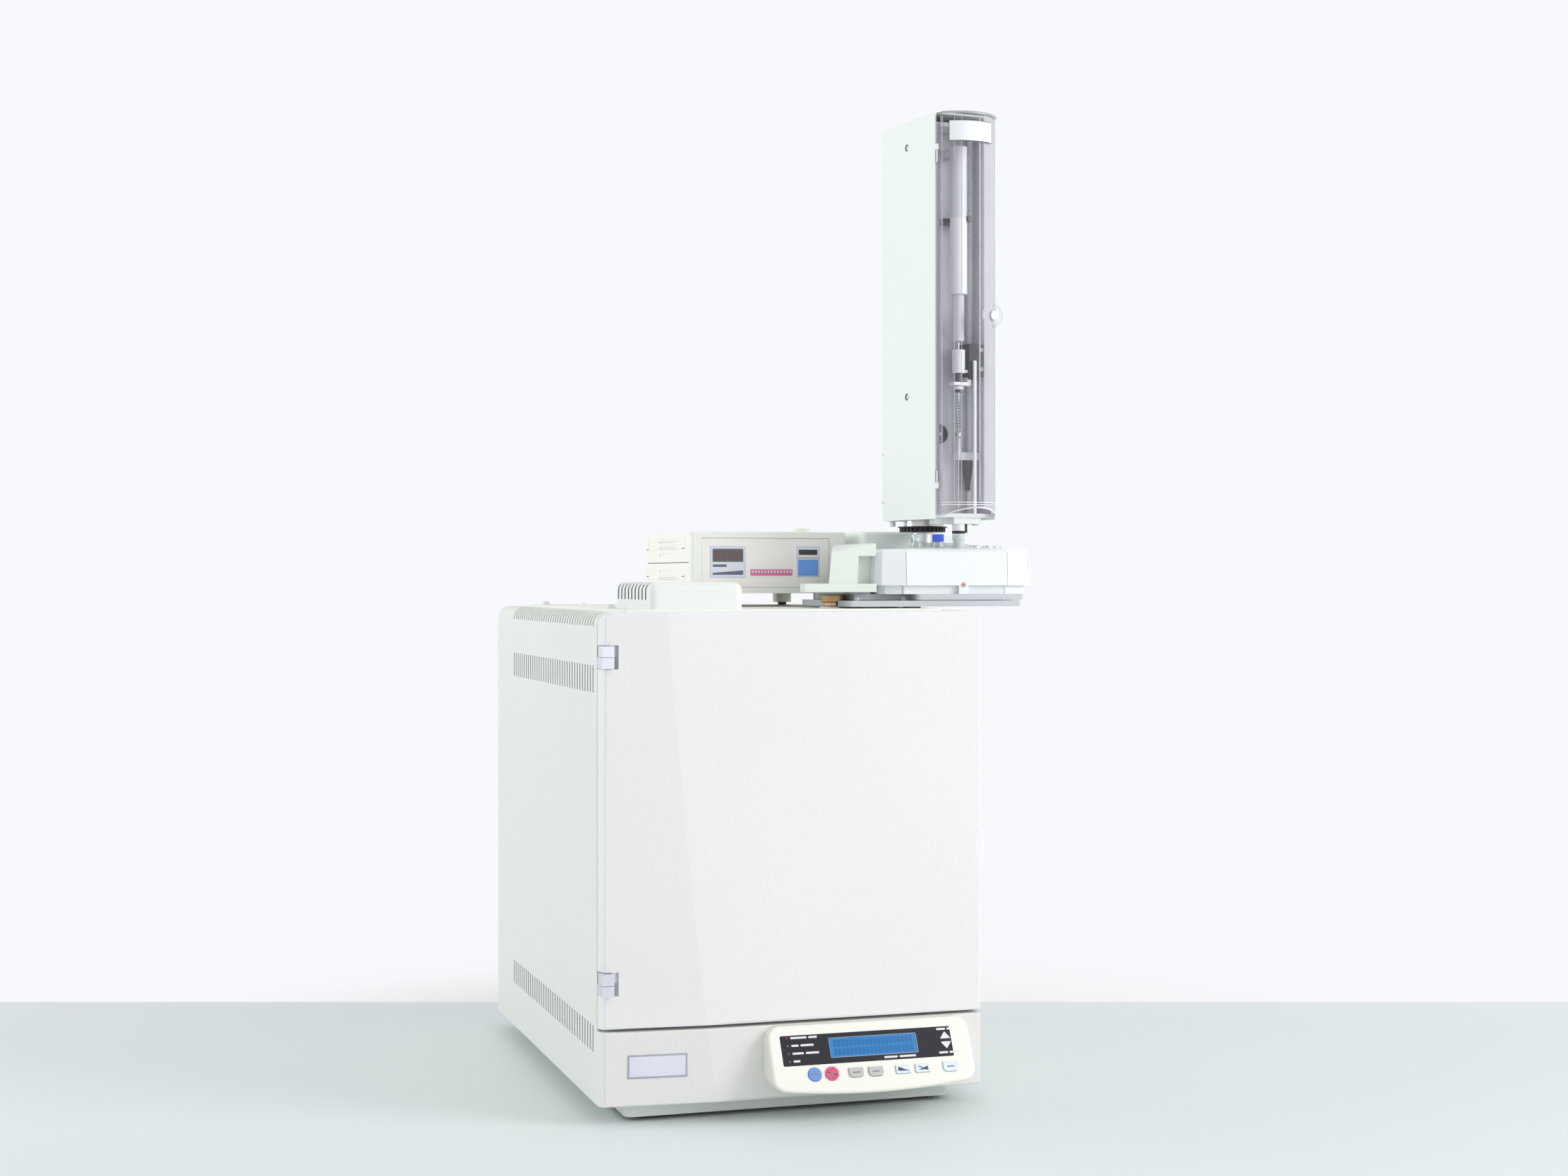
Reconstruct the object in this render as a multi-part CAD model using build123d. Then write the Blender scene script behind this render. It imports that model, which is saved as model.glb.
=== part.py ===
from build123d import *
import os
from math import cos, pi, radians, sin, tan

# Bench gas chromatograph with a gas-sensor box and a turret autosampler on its top.
# Millimetres. X runs right, Y runs back and Z runs up; while modelling, X=0 is the
# cabinet's middle plane, Y=0 its flat front face and Z=0 the bench.

# ---------------------------------------------------------------- driving dimensions
# cabinet
HALF_W = 190.0  # outer face of a side panel
SEAM_Y = 22.0  # front edge of the side panels
BACK_Y = 526.0
BODY_Z = 18.0  # underside of the body
TOP_Z = 478.0
PAD_Z = 480.0  # raised middle of the top
EDGE_R = 12.0
SHEET = 2.0
GAP_Z = 89.0  # joint between the door and the lower bezel
GAP = 1.5  # half of that joint's height
TAPER = 4.0  # the door's sides lean in by this much towards the front
DOOR_BACK = 20.0
RIM_R = 1.8  # radius along the rim of the door and of the bezel
CREASE_TOP, CREASE_GAP, CREASE_FOOT = -127.5, -89.0, -71.5  # X of the front's crease
RECESS_TOP, RECESS_FOOT = 5.0, 9.5  # how far the left facet falls back at its left edge

# side vents
SLOT_N, SLOT_PITCH, SLOT_W, SLOT_Y0 = 35, 11.5, 4.5, 38.5
SLOT_BANDS = ((402.5, 428.0), (65.0, 90.0))

# oven
OVEN_X, OVEN_Z0, OVEN_Z1, OVEN_DEPTH = 130.0, 130.0, 405.0, 270.0
OVEN_WALL = 32.0
FAN_Z = (OVEN_Z0 + OVEN_Z1) / 2
FAN_Y0, FAN_Y1, FAN_R, HUB_R, SHAFT_R = 228.0, 250.0, 62.0, 14.0, 4.0
RUN = 0.05  # running clearance on a radius

# door hinge
HINGE_X, HINGE_Y = -184.3, 9.0
HINGE_SPANS = ((122.0, 143.0), (426.0, 447.0))
KNUCKLE_X, KNUCKLE_Y = 5.7, 9.5  # half width of a knuckle and its reach to the front
PIN_R = 2.0
POCKET_R = 11.8
LEAF_END, LEAF_Y0, LEAF_Y1 = -168.0, 13.0, 15.5  # plate of the moving leaf, let into the door

# mains rocker
ROCKER_Y, ROCKER_Z, ROCKER_TIP = BACK_Y - 4, 76.0, 8.0

# keypad
KEYPAD_X0, KEYPAD_X1, KEYPAD_TOP, KEYPAD_FOOT = -34.0, 168.0, 87.0, 26.0
KEYPAD_TILT = 28.5
KEYPAD_STANDOFF = 8.0
KEY_RISE, KEY_TRAVEL, KEY_CLEAR = 1.4, 0.8, 0.3
KEYS = {  # name: (X, distance down the face, width, height, shape)
    "key_start": (6.8, 47.8, 13.0, 13.0, "round"),
    "key_stop": (23.7, 48.1, 13.0, 13.0, "octagon"),
    "key_function_a": (47.6, 48.5, 14.5, 9.0, "tab"),
    "key_function_b": (67.4, 48.7, 14.5, 9.0, "tab"),
    "key_decrease": (94.6, 48.4, 14.5, 8.0, "plate"),
    "key_increase": (114.2, 48.5, 14.5, 8.0, "plate"),
    "key_enter": (142.7, 48.8, 15.0, 9.5, "tab"),
    "key_scroll_up": (142.5, 17.6, 11.0, 7.0, "up"),
    "key_scroll_down": (142.5, 27.6, 11.0, 7.0, "down"),
}
FLAT_RISE = 0.4  # the two scroll keys lie almost flush

# gas-sensor box
SENSOR_X0, SENSOR_X1, SENSOR_Y0, SENSOR_Y1 = -43.0, 127.0, 230.0, 420.0
SENSOR_Z0, SENSOR_Z1, SENSOR_WALL = 494.0, 558.5, 2.5
PANEL_X0, PANEL_X1, PANEL_Z0, PANEL_Z1 = -31.0, 109.0, 500.0, 552.0

# autosampler
AXIS_X, AXIS_Y = 194.0, 178.0  # turret axis
NEEDLE_R = 77.0
TURN = 7.5  # the tower stands turned by this angle
STATION = 16.5  # angle between vial stations
TRAY_X0, TRAY_X1, TRAY_Y0, TRAY_Y1 = 108.0, 290.0, 74.0, 214.0
TRAY_DRAFT, TRAY_SEAMS = 3.0, (137.5, 246.7)  # lean of the tray's walls; X of its two seams
PLATE_Z, CARRIER_Z, SKIRT_Z, TRAY_Z, TRAY_TOP = 481.5, 487.5, 494.0, 502.7, 539.0
POST_R = 8.0
TOWER_Z0, TOWER_Z1, TOWER_HALF_W, TOWER_FRONT, TOWER_BACK = 569.5, 978.6, 35.5, -92.0, 25.0
TOWER_WALL = 1.6
COVER_BULGE = 20.0
GUIDE_Z = 555.0  # lower end of the needle guide
VIAL_R, VIAL_H = 5.8, 32.0
PORT_R = 4.0
PULLEY_TEETH, PULLEY_ROOT, PULLEY_R = 30, 22.4, 24.0
HINGE_A, HINGE_B = -34.3, -94.2  # the clear cover's hinge line in the tower's frame
EAR_SPANS = ((600.0, 606.0, 618.0), (946.0, 940.0, 928.0))  # ear, joint, end of barrel

parts = {}


# ---------------------------------------------------------------- small helpers
def block(x0, x1, y0, y1, z0, z1):
    return Pos((x0 + x1) / 2, (y0 + y1) / 2, (z0 + z1) / 2) * Box(x1 - x0, y1 - y0, z1 - z0)


def rod(x, y, z0, z1, radius):
    return Pos(x, y, (z0 + z1) / 2) * Cylinder(radius, z1 - z0)


def cone(x, y, z0, z1, radius0, radius1):
    return Pos(x, y, (z0 + z1) / 2) * Cone(radius0, radius1, z1 - z0)


def rod_y(x, z, y0, y1, radius):
    return Pos(x, (y0 + y1) / 2, z) * Rot(90, 0, 0) * Cylinder(radius, y1 - y0)


def prism(points, z0, z1):
    return Pos(0, 0, z0) * extrude(make_face(Polyline(*points, close=True)), z1 - z0)


def prism_y(points, y0, y1):
    """A prism along Y from outline points (x, z)."""
    face = make_face(Polyline(*[(x, 0, z) for x, z in points], close=True))
    return Pos(0, y0, 0) * extrude(face, y1 - y0, dir=(0, 1, 0))


def rounded(x0, x1, y0, y1, z0, z1, radius):
    """A block with rounded upright edges."""
    plan = RectangleRounded(x1 - x0, y1 - y0, radius)
    return Pos((x0 + x1) / 2, (y0 + y1) / 2, z0) * extrude(plan, z1 - z0)


def joined(solids):
    """One body of several touching solids."""
    total = solids[0]
    for solid in solids[1:]:
        total += solid
    return total


def group(solids):
    """Several loose solids that share one node."""
    return Compound(children=[s for solid in solids for s in solid.solids()])


# ---------------------------------------------------------------- cabinet front form
def front_section(z):
    """Plan outline of the door or bezel at one height, with its crease and left facet."""
    t = (TOP_Z - z) / (TOP_Z - GAP_Z)
    crease = CREASE_TOP + (CREASE_GAP - CREASE_TOP) * (0.74 * t + 0.26 * t * t)
    recess = RECESS_TOP + (RECESS_FOOT - RECESS_TOP) * t * 0.85
    points = [
        (-HALF_W, DOOR_BACK, z),
        (-HALF_W + TAPER, recess, z),
        (crease, 0, z),
        (HALF_W - TAPER, 0, z),
        (HALF_W, DOOR_BACK - 4, z),
        (HALF_W, DOOR_BACK, z),
    ]
    return make_face(Polyline(*points, close=True))


def front_form(z0, z1):
    """The front's own form between two heights."""
    heights = [z0 + (z1 - z0) * i / 3 for i in range(4)]
    return loft([front_section(z) for z in heights])


def rounded_rim(solid):
    """The front's moulding with a radius on its rim, but none on the crease."""
    rim = []
    for edge in solid.edges():
        size, place = edge.bounding_box().size, edge.center()
        crease = size.Z > 20 and CREASE_TOP - 9 < place.X < CREASE_FOOT + 9
        if edge.bounding_box().max.Y < DOOR_BACK - 5 and not crease:
            rim.append(edge)
    return fillet(rim, RIM_R)


def cabinet_outline(inset, y0, y1, z0):
    """A prism along Y with the cabinet's rounded top edges."""
    w = HALF_W - inset
    top = TOP_Z - inset
    radius = EDGE_R - inset
    with BuildSketch(Plane.XZ) as outline:
        with Locations((0, (z0 + top) / 2)):
            Rectangle(2 * w, top - z0)
        fillet(outline.vertices().group_by(Axis.Y)[-1], radius)
    return Pos(0, y0, 0) * extrude(outline.sketch, y1 - y0, dir=(0, 1, 0))


# ---------------------------------------------------------------- cabinet shell
def side_panel(side):
    """Sheet side that rolls over the top edge, with three rows of vent slots."""
    shell = cabinet_outline(0, SEAM_Y, BACK_Y, BODY_Z) - cabinet_outline(SHEET, SEAM_Y, BACK_Y, BODY_Z)
    inner = HALF_W - 24.0
    panel = shell & block(-HALF_W - 1, -inner, SEAM_Y, BACK_Y, BODY_Z, TOP_Z + 1)
    slots = []
    for i in range(SLOT_N):
        y = SLOT_Y0 + i * SLOT_PITCH
        for z0, z1 in SLOT_BANDS:
            slots.append(block(-HALF_W - 1, -HALF_W + SHEET + 1, y - SLOT_W / 2, y + SLOT_W / 2, z0, z1))
        slots.append(block(-HALF_W - 1, -HALF_W + 16, y - SLOT_W / 2, y + SLOT_W / 2, TOP_Z - 13, TOP_Z + 1))
    panel -= slots
    return panel if side < 0 else mirror(panel, about=Plane.YZ)


def base_plinth():
    """Floor plate with the recessed skirt that carries the feet."""
    floor = block(-HALF_W + SHEET, HALF_W - SHEET, SEAM_Y, BACK_Y - SHEET, BODY_Z, BODY_Z + 3)
    skirt = rounded(-162, 162, 25, 512, 4, BODY_Z, 8) - rounded(-159, 159, 28, 509, 4, BODY_Z, 6)
    return floor + skirt


def feet():
    places = [(x, y) for x in (-138, 138) for y in (52, 486)]
    return group([rod(x, y, 0, BODY_Z, 15) + rod(x, y, 6, BODY_Z, 18) for x, y in places])


def top_panel():
    """Lid sheet between the side panels, with its raised middle and small domed plugs."""
    x = HALF_W - 24.0
    sheet = block(-x, x, SEAM_Y, BACK_Y, TOP_Z - SHEET, TOP_Z)
    pad = rounded(-160, 165, 46, 505, TOP_Z, PAD_Z, 6)
    plugs = []
    for px, py in ((-147, 470), (-140, 300), (-145, 160)):
        plugs.append(Pos(px, py, PAD_Z) * (Sphere(5) & Pos(0, 0, 2) * Box(12, 12, 4)))
    injector = [rod(76, 120, PAD_Z, PAD_Z + 1.5, 14), rod(76, 120, PAD_Z, 491, 5)]
    return joined([sheet, pad] + plugs + injector)


def rear_panel():
    """Back sheet with the oven's air outlet, a cooling grille and the inlet cut-out."""
    panel = cabinet_outline(SHEET, BACK_Y - SHEET, BACK_Y, BODY_Z)
    panel -= block(-60, 60, BACK_Y - 3, BACK_Y + 1, 300, 370)
    panel -= block(96, 152, BACK_Y - 3, BACK_Y + 1, 60, 92)
    grille = []
    for i in range(12):
        z = 150 + i * 9
        grille.append(block(-150, -80, BACK_Y - 3, BACK_Y + 1, z, z + 4))
    return panel - grille


def exhaust_flap():
    """Sheet flap hung along its top edge over the oven's air outlet."""
    plate = block(-66, 66, BACK_Y + 1, BACK_Y + 2.5, 295, 374)
    plate = fillet(plate.edges().filter_by(Axis.Y).group_by(Axis.Z)[0], 4)
    knuckle = Pos(0, BACK_Y + 3.5, 376) * Rot(0, 90, 0) * Cylinder(2.5, 132)
    bore = Pos(0, BACK_Y + 3.5, 376) * Rot(0, 90, 0) * Cylinder(1.0 + RUN, 140)
    return (plate + knuckle + block(-66, 66, BACK_Y + 1, BACK_Y + 2.5, 373, 376)) - bore


def rear_fittings():
    """Hinge pin of the flap with its ears, and two gas bulkhead fittings."""
    pin = Pos(0, BACK_Y + 3.5, 376) * Rot(0, 90, 0) * Cylinder(1.0, 150)
    ears = [block(x, x + 4, BACK_Y, BACK_Y + 6.5, 372, 380) for x in (-74, 70)]
    out = [pin + ears[0] + ears[1]]
    for x in (-140, -112):
        nut = Pos(x, BACK_Y + 4, 400) * Rot(90, 0, 0) * extrude(RegularPolygon(7, 6), 4, both=True)
        out.append(nut + rod_y(x, 400, BACK_Y, BACK_Y + 16, 3.2))
    return group(out)


def power_inlet():
    """Inlet socket and the frame of the mains rocker, set in the back."""
    body = block(97, 151, BACK_Y - 28, BACK_Y, 61, 91)
    plate = block(92, 156, BACK_Y, BACK_Y + 2, 56, 96)
    socket = block(102, 126, BACK_Y - 14, BACK_Y + 3, 68, 84)
    recess = block(131.5, 147.5, BACK_Y - 16, BACK_Y + 3, 64.5, 87.5)
    pins = [block(x, x + 2, BACK_Y - 14, BACK_Y - 6, 73, 79) for x in (106, 113, 120)]
    return joined([(body + plate) - socket - recess] + pins)


def power_rocker():
    """Mains rocker, tipped to its off side."""
    x0, x1, half = 132.0, 147.0, 10.0
    slab = block(x0, x1, -3, 7, -half, half)
    slab -= Pos(0, 30, 0) * Rot(0, 90, 0) * Cylinder(24.5, 400)
    slab += Pos((x0 + x1) / 2, 0, 0) * Rot(0, 90, 0) * Cylinder(1.2, x1 - x0 + 0.8)
    return Pos(0, ROCKER_Y, ROCKER_Z) * Rot(-ROCKER_TIP, 0, 0) * slab


# ---------------------------------------------------------------- cabinet front
def front_frame():
    """Front plate around the oven mouth, with the slot that the latch tongue enters."""
    frame = cabinet_outline(SHEET, SEAM_Y, SEAM_Y + 3, BODY_Z + 3)
    frame -= block(-OVEN_X, OVEN_X, SEAM_Y - 1, SEAM_Y + 4, OVEN_Z0, OVEN_Z1)
    frame -= block(166, 178, SEAM_Y - 1, SEAM_Y + 4, 240, 258)
    return frame


def lower_bezel():
    """Fixed moulding under the door, with the seat of the badge and the keypad's cable hole."""
    z0, z1 = BODY_Z, GAP_Z - GAP
    bezel = rounded_rim(front_form(z0, z1)) + block(-HALF_W, HALF_W, DOOR_BACK, SEAM_Y, z0, z1)
    bezel -= block(-180, 180, 12, SEAM_Y, z0 + 3, z1 - 3)
    bezel -= badge_form()
    bezel -= block(40, 90, -1, 13, 40, 60)
    return bezel


def badge_form():
    """The badge's plate, which stands proud of the left facet."""
    return Pos(-136, 4.84, 55) * Rot(0, 0, -5.2) * Box(56.4, 1.6, 22.0)


def keypad_solid(inset):
    """Keypad housing form: an outline with an arched foot, cut by the tilted face."""
    x0, x1 = KEYPAD_X0 + inset, KEYPAD_X1 - inset
    top, foot = KEYPAD_TOP - inset, KEYPAD_FOOT + inset
    rise, radius = 6.0, 12.0 - inset
    mid = (x0 + x1) / 2
    left = Line((x0, foot + rise), (x0, top))
    cap = Line((x0, top), (x1, top))
    right = Line((x1, top), (x1, foot + rise))
    arch = ThreePointArc((x1, foot + rise), (mid, foot), (x0, foot + rise))
    face = make_face([left, cap, right, arch])
    face = fillet(face.vertices(), radius)
    solid = extrude(Plane.XZ * face, 60)
    return solid & face_half_space(inset)


def keypad_plane():
    """Plane on the tilted face: X along the face, Y up the face, Z outwards."""
    tilt = radians(KEYPAD_TILT)
    origin = (0, -KEYPAD_STANDOFF, KEYPAD_TOP)
    return Plane(origin=origin, x_dir=(1, 0, 0), z_dir=(0, -cos(tilt), sin(tilt)))


def face_half_space(depth):
    big = Pos(67, 0, -100 - depth) * Box(400, 400, 200)
    return keypad_plane().location * big


def key_outline(shape, width, height):
    if shape == "round":
        return Circle(width / 2)
    if shape == "octagon":
        return RegularPolygon(width / 2, 8)
    if shape == "plate":
        return RectangleRounded(width, height, 1.0)
    if shape == "tab":
        tab = Rectangle(width, height)
        return fillet(tab.vertices().group_by(Axis.Y)[0], height * 0.45)
    tip = height / 2 if shape == "up" else -height / 2
    return make_face(Polyline((-width / 2, -tip), (width / 2, -tip), (0, tip), close=True))


def key_solid(name, grow, low, high):
    x, down, width, height, shape = KEYS[name]
    outline = key_outline(shape, width + 2 * grow, height + 2 * grow)
    return keypad_plane().location * Pos(x, -down, low) * extrude(outline, high - low)


def keypad_housing():
    """Tilted moulding that carries the window panel and guides the keys."""
    shell = keypad_solid(0.0)
    shell = fillet(shell.faces().sort_by(Axis.Y)[0].edges(), 2.5)
    shell -= keypad_solid(3.0)
    shell -= window_panel_form(0.0)
    for name in KEYS:
        shell -= key_solid(name, KEY_CLEAR, -5, 4)
    return shell


def window_panel_form(shrink):
    """Black window panel, 1 mm thick, let into the tilted face."""
    outline = RectangleRounded(171 - shrink, 29.5 - shrink, 1.5)
    return keypad_plane().location * Pos(63, -23.8, -1.0) * extrude(outline, 1.0)


def keypad_panel():
    panel = window_panel_form(0.0)
    for name in ("key_scroll_up", "key_scroll_down"):
        panel -= key_solid(name, KEY_CLEAR, -5, 4)
    window = Pos(69.2, -23.2, -0.5) * extrude(Rectangle(88, 19.5), 1)
    return panel - keypad_plane().location * window


def key(name):
    """Key cap with a wider collar under the face, which stops it from falling out."""
    flat = KEYS[name][4] in ("up", "down")
    cap = key_solid(name, 0, -5.2, FLAT_RISE if flat else KEY_RISE)
    collar = key_solid(name, 0.9, -5.2, -3.1)
    return cap + collar


def key_board():
    """Circuit board under the keys, on the housing's inside."""
    board = Pos(67, -30, -9.0) * extrude(Rectangle(184, 46), 1.6)
    return (keypad_plane().location * board) & keypad_solid(3.2)


# ---------------------------------------------------------------- oven
def oven_casing():
    """Insulated box around the oven, open to the front."""
    w = OVEN_WALL
    y0, y1 = SEAM_Y + 3, OVEN_DEPTH
    outer = block(-OVEN_X - w, OVEN_X + w, y0, y1 + w, OVEN_Z0 - w, OVEN_Z1 + w)
    casing = outer - block(-OVEN_X, OVEN_X, y0 - 1, y1, OVEN_Z0, OVEN_Z1)
    return casing - rod_y(0, FAN_Z, y1 - 1, y1 + w + 1, SHAFT_R + 2)


def oven_liner():
    """Steel liner of the oven, with the shaft hole in its back."""
    y0, y1 = SEAM_Y + 3, OVEN_DEPTH
    liner = block(-OVEN_X, OVEN_X, y0, y1, OVEN_Z0, OVEN_Z1)
    liner -= block(-OVEN_X + 2, OVEN_X - 2, y0 - 1, y1 - 2, OVEN_Z0 + 2, OVEN_Z1 - 2)
    return liner - rod_y(0, FAN_Z, y1 - 3, y1 + 1, SHAFT_R + 2)


def fan_shroud():
    """Baffle in front of the fan: a plate with a ring of air holes on four studs."""
    plate = block(-118, 118, 214, 216, OVEN_Z0 + 12, OVEN_Z1 - 12)
    plate -= rod_y(0, FAN_Z, 213, 217, 34)
    guard = [rod_y(0, FAN_Z, 214, 216, r) - rod_y(0, FAN_Z, 213, 217, r - 2.5) for r in (14, 24)]
    spokes = [Pos(0, 215, FAN_Z) * Rot(0, a, 0) * Box(72, 2, 2.5) for a in (0, 60, 120)]
    studs = [rod_y(x, z, 216, OVEN_DEPTH - 2, 3) for x in (-108, 108) for z in (152, 383)]
    return joined([plate] + guard + spokes + studs)


def oven_fan():
    """Radial oven fan: back disc, eight blades, hub and shaft."""
    disc = rod_y(0, FAN_Z, FAN_Y1 - 2, FAN_Y1, FAN_R)
    hub = rod_y(0, FAN_Z, FAN_Y0, FAN_Y1, HUB_R)
    shaft = rod_y(0, FAN_Z, FAN_Y1, OVEN_DEPTH + OVEN_WALL + 30, SHAFT_R)
    blades = []
    for i in range(8):
        blade = Pos((FAN_R + HUB_R) / 2 - 2, 0, 0) * Rot(0, 18, 0) * Box(FAN_R - HUB_R, FAN_Y1 - FAN_Y0 - 2, 1.6)
        y = (FAN_Y0 + FAN_Y1) / 2 - 1
        blades.append(Pos(0, y, FAN_Z) * Rot(0, 45 * i, 0) * blade)
    return joined([disc, hub, shaft] + blades)


def fan_motor():
    """Fan motor behind the oven, bored for the fan's shaft."""
    y = OVEN_DEPTH + OVEN_WALL
    body = rod_y(0, FAN_Z, y, y + 60, 42) + rod_y(0, FAN_Z, y, y + 4, 55)
    return body - rod_y(0, FAN_Z, y - 1, y + 31, SHAFT_R + RUN)


def column_coil():
    """Wound column on its cage, hung from the oven's ceiling."""
    coil = rod_y(0, FAN_Z, 96, 132, 88) - rod_y(0, FAN_Z, 95, 133, 84)
    hanger = block(-3, 3, 112, 116, FAN_Z + 87, OVEN_Z1 - 2)
    bars = [Pos(0, 114, FAN_Z) * Rot(0, a, 0) * Box(170, 4, 3) for a in (45, 135)]
    return joined([coil, hanger] + bars)


# ---------------------------------------------------------------- door
def hinge_pocket():
    """Room in the door's edge for the hinge leaves, with the slot of the moving leaf's plate."""
    pockets = []
    for z0, z1 in HINGE_SPANS:
        low, high = z0 - 0.6, z1 + 0.6
        pockets.append(rod(HINGE_X, HINGE_Y, low, high, POCKET_R))
        pockets.append(block(-HALF_W - 1, HINGE_X + 3, HINGE_Y, DOOR_BACK + 1, low, high))
        pockets.append(block(HINGE_X, LEAF_END, LEAF_Y0, LEAF_Y1, (z0 + z1) / 2 + 0.2, z1))
    return pockets


def door_shell():
    """Outer moulding of the door: creased front, hollow back, hinge pockets and latch slot."""
    z0 = GAP_Z + GAP
    shell = rounded_rim(front_form(z0, TOP_Z) & cabinet_outline(0, -1, DOOR_BACK, z0))
    shell -= block(-168, -84, 11.5, DOOR_BACK + 1, z0 + 6, TOP_Z - 8)
    shell -= block(-84, 178, 3.5, DOOR_BACK + 1, z0 + 6, TOP_Z - 8)
    shell -= hinge_pocket()
    shell -= block(170, HALF_W + 1, 8.5, 15.5, 229, 269)
    grip = Pos(HALF_W + 22, 0, 249) * Rot(90, 0, 0) * Cylinder(30, 16)
    return shell - grip


def door_insulation():
    z0 = GAP_Z + GAP + 6.5
    slab = block(-167, 160, 12, 18, z0, TOP_Z - 8.5)
    core = block(-120, 120, 18, 31.5, OVEN_Z0 + 8, OVEN_Z1 - 8)
    return slab + core


def door_liner():
    """Inner steel pan whose raised middle plugs the oven mouth."""
    z0 = GAP_Z + GAP + 6.5
    pan = block(-167, 177, 18, DOOR_BACK, z0, TOP_Z - 8.5)
    plug = block(-122, 122, DOOR_BACK, 33, OVEN_Z0 + 6, OVEN_Z1 - 6)
    return (pan + plug) - block(-120, 120, 17, 31.5, OVEN_Z0 + 8, OVEN_Z1 - 8) - block(164, 176, 17, 21, 238, 260)


def door_gasket():
    """Soft rope seal around the oven mouth."""
    m = 14.0
    y0, y1 = DOOR_BACK, SEAM_Y - 0.4
    outer = block(-OVEN_X - m, OVEN_X + m, y0, y1, OVEN_Z0 - m, OVEN_Z1 + m)
    return outer - block(-OVEN_X - 4, OVEN_X + 4, y0 - 1, y1 + 1, OVEN_Z0 - 4, OVEN_Z1 + 4)


def latch_tab():
    """Push tab in the door's right edge, with the tongue that enters the front frame."""
    tab = rounded(172, HALF_W + 3.5, 9, 15, 230, 268, 2)
    tongue = block(169, 173, 9, 30, 243, 255)
    return tab + tongue


def hinge_leaf(z0, z1, fixed):
    """One hinge knuckle that wraps the cabinet's corner; the fixed one carries the pin."""
    mid = (z0 + z1) / 2
    low, high = (z0, mid - 0.2) if fixed else (mid + 0.2, z1)
    x, y = HINGE_X, HINGE_Y
    leaf = block(x - KNUCKLE_X, x + KNUCKLE_X, y - KNUCKLE_Y, y, low, high)
    round_end = rod(x, y, low, high, KNUCKLE_X)
    if fixed:
        arm = block(x - KNUCKLE_X + 0.3, x + 1.5, y, SEAM_Y, low, high)
        pin = rod(x, y, low, z1 - 3, PIN_R)
        return leaf + round_end + arm + pin
    tail = block(x - KNUCKLE_X, x + KNUCKLE_X, y, y + 7, low, high)
    bore = rod(x, y, low - 1, z1 - 2.5, PIN_R + RUN)
    plate = block(x + KNUCKLE_X - 1, LEAF_END, LEAF_Y0, LEAF_Y1, low, high)
    return (leaf + round_end + tail + plate) - bore


# ---------------------------------------------------------------- things on the top
def detector_cover():
    """Vented hood over the detector."""
    x0, x1, y0, y1, z1 = -130, -36, 60, 201, 506
    outer = block(x0, x1, y0, y1, PAD_Z, z1)
    outer = fillet(outer.edges().group_by(Axis.Z)[-1] + outer.edges().filter_by(Axis.Z), 8)
    hood = outer - block(x0 + 3, x1 - 3, y0 + 3, y1 - 3, PAD_Z - 1, z1 - 10)
    slots = [block(x0 - 1, x0 + 11, y - 2.5, y + 2.5, PAD_Z + 9, z1 + 1) for y in range(75, 188, 14)]
    return hood - slots


def injector_nut():
    """Knurled brass nut on the injector head."""
    nut = rod(76, 120, 485.5, 493.3, 12.3) + rod(76, 120, 482.0, 485.5, 10)
    return nut - rod(76, 120, 481, 491.3, 5 + RUN)


def sensor_half(z0, z1, opening_z):
    """One half of the sensor's case, hollow towards the other half."""
    x0, x1, y0, y1 = SENSOR_X0, SENSOR_X1, SENSOR_Y0, SENSOR_Y1
    outer = rounded(x0, x1, y0, y1, z0, z1, 4)
    w = SENSOR_WALL
    low, high = (z0 + w, z1 + 1) if opening_z == z1 else (z0 - 1, z1 - w)
    half = outer - block(x0 + w, x1 - w, y0 + w, y1 - w, low, high)
    half -= block(PANEL_X0, PANEL_X1, y0 - 1, y0 + w + 1, PANEL_Z0, PANEL_Z1)
    grooves = []
    for x in (x0, x1):
        for i in range(3):
            z = z0 + 7 + i * 7
            grooves.append(block(x - 1, x + 1, y0 + 60, y1 - 60, z, z + 3))
    return half - grooves


def sensor_base():
    z1 = (SENSOR_Z0 + SENSOR_Z1) / 2
    half = sensor_half(SENSOR_Z0, z1, z1)
    places = [(x, y) for x in (SENSOR_X0 + 18, SENSOR_X1 - 18) for y in (SENSOR_Y0 + 22, SENSOR_Y1 - 22)]
    blocks = [rounded(x - 9, x + 9, y - 9, y + 9, PAD_Z + 3, SENSOR_Z0, 4) for x, y in places]
    pads = [rod(x, y, PAD_Z, PAD_Z + 3, 4.5) for x, y in places]
    return joined([half] + blocks + pads)


def sensor_lid():
    z0 = (SENSOR_Z0 + SENSOR_Z1) / 2
    half = sensor_half(z0, SENSOR_Z1, z0)
    half = fillet(half.faces().sort_by(Axis.Z)[-1].edges(), 1.8)
    return half + rod(100, 300, SENSOR_Z1 - 1, SENSOR_Z1 + 5, 10)


def sensor_front_panel():
    """Recessed front panel with the hole of the reset key."""
    panel = block(PANEL_X0, PANEL_X1, SENSOR_Y0 + 0.8, SENSOR_Y0 + SENSOR_WALL, PANEL_Z0, PANEL_Z1)
    return panel - block(74.7, 96.3, SENSOR_Y0, SENSOR_Y0 + 4, 512.7, 529.3)


def reset_key():
    cap = block(75, 96, SENSOR_Y0 + 0.1, SENSOR_Y0 + 4, 513, 529)
    return cap + block(73.5, 97.5, SENSOR_Y0 + 3.0, SENSOR_Y0 + 5, 511.5, 530.5)


# ---------------------------------------------------------------- autosampler stand
def station(k):
    """Place of a vial station on the needle's circle; k=0 is under the needle at rest."""
    angle = radians(-90 + TURN + k * STATION)
    return AXIS_X + NEEDLE_R * cos(angle), AXIS_Y + NEEDLE_R * sin(angle)


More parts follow.
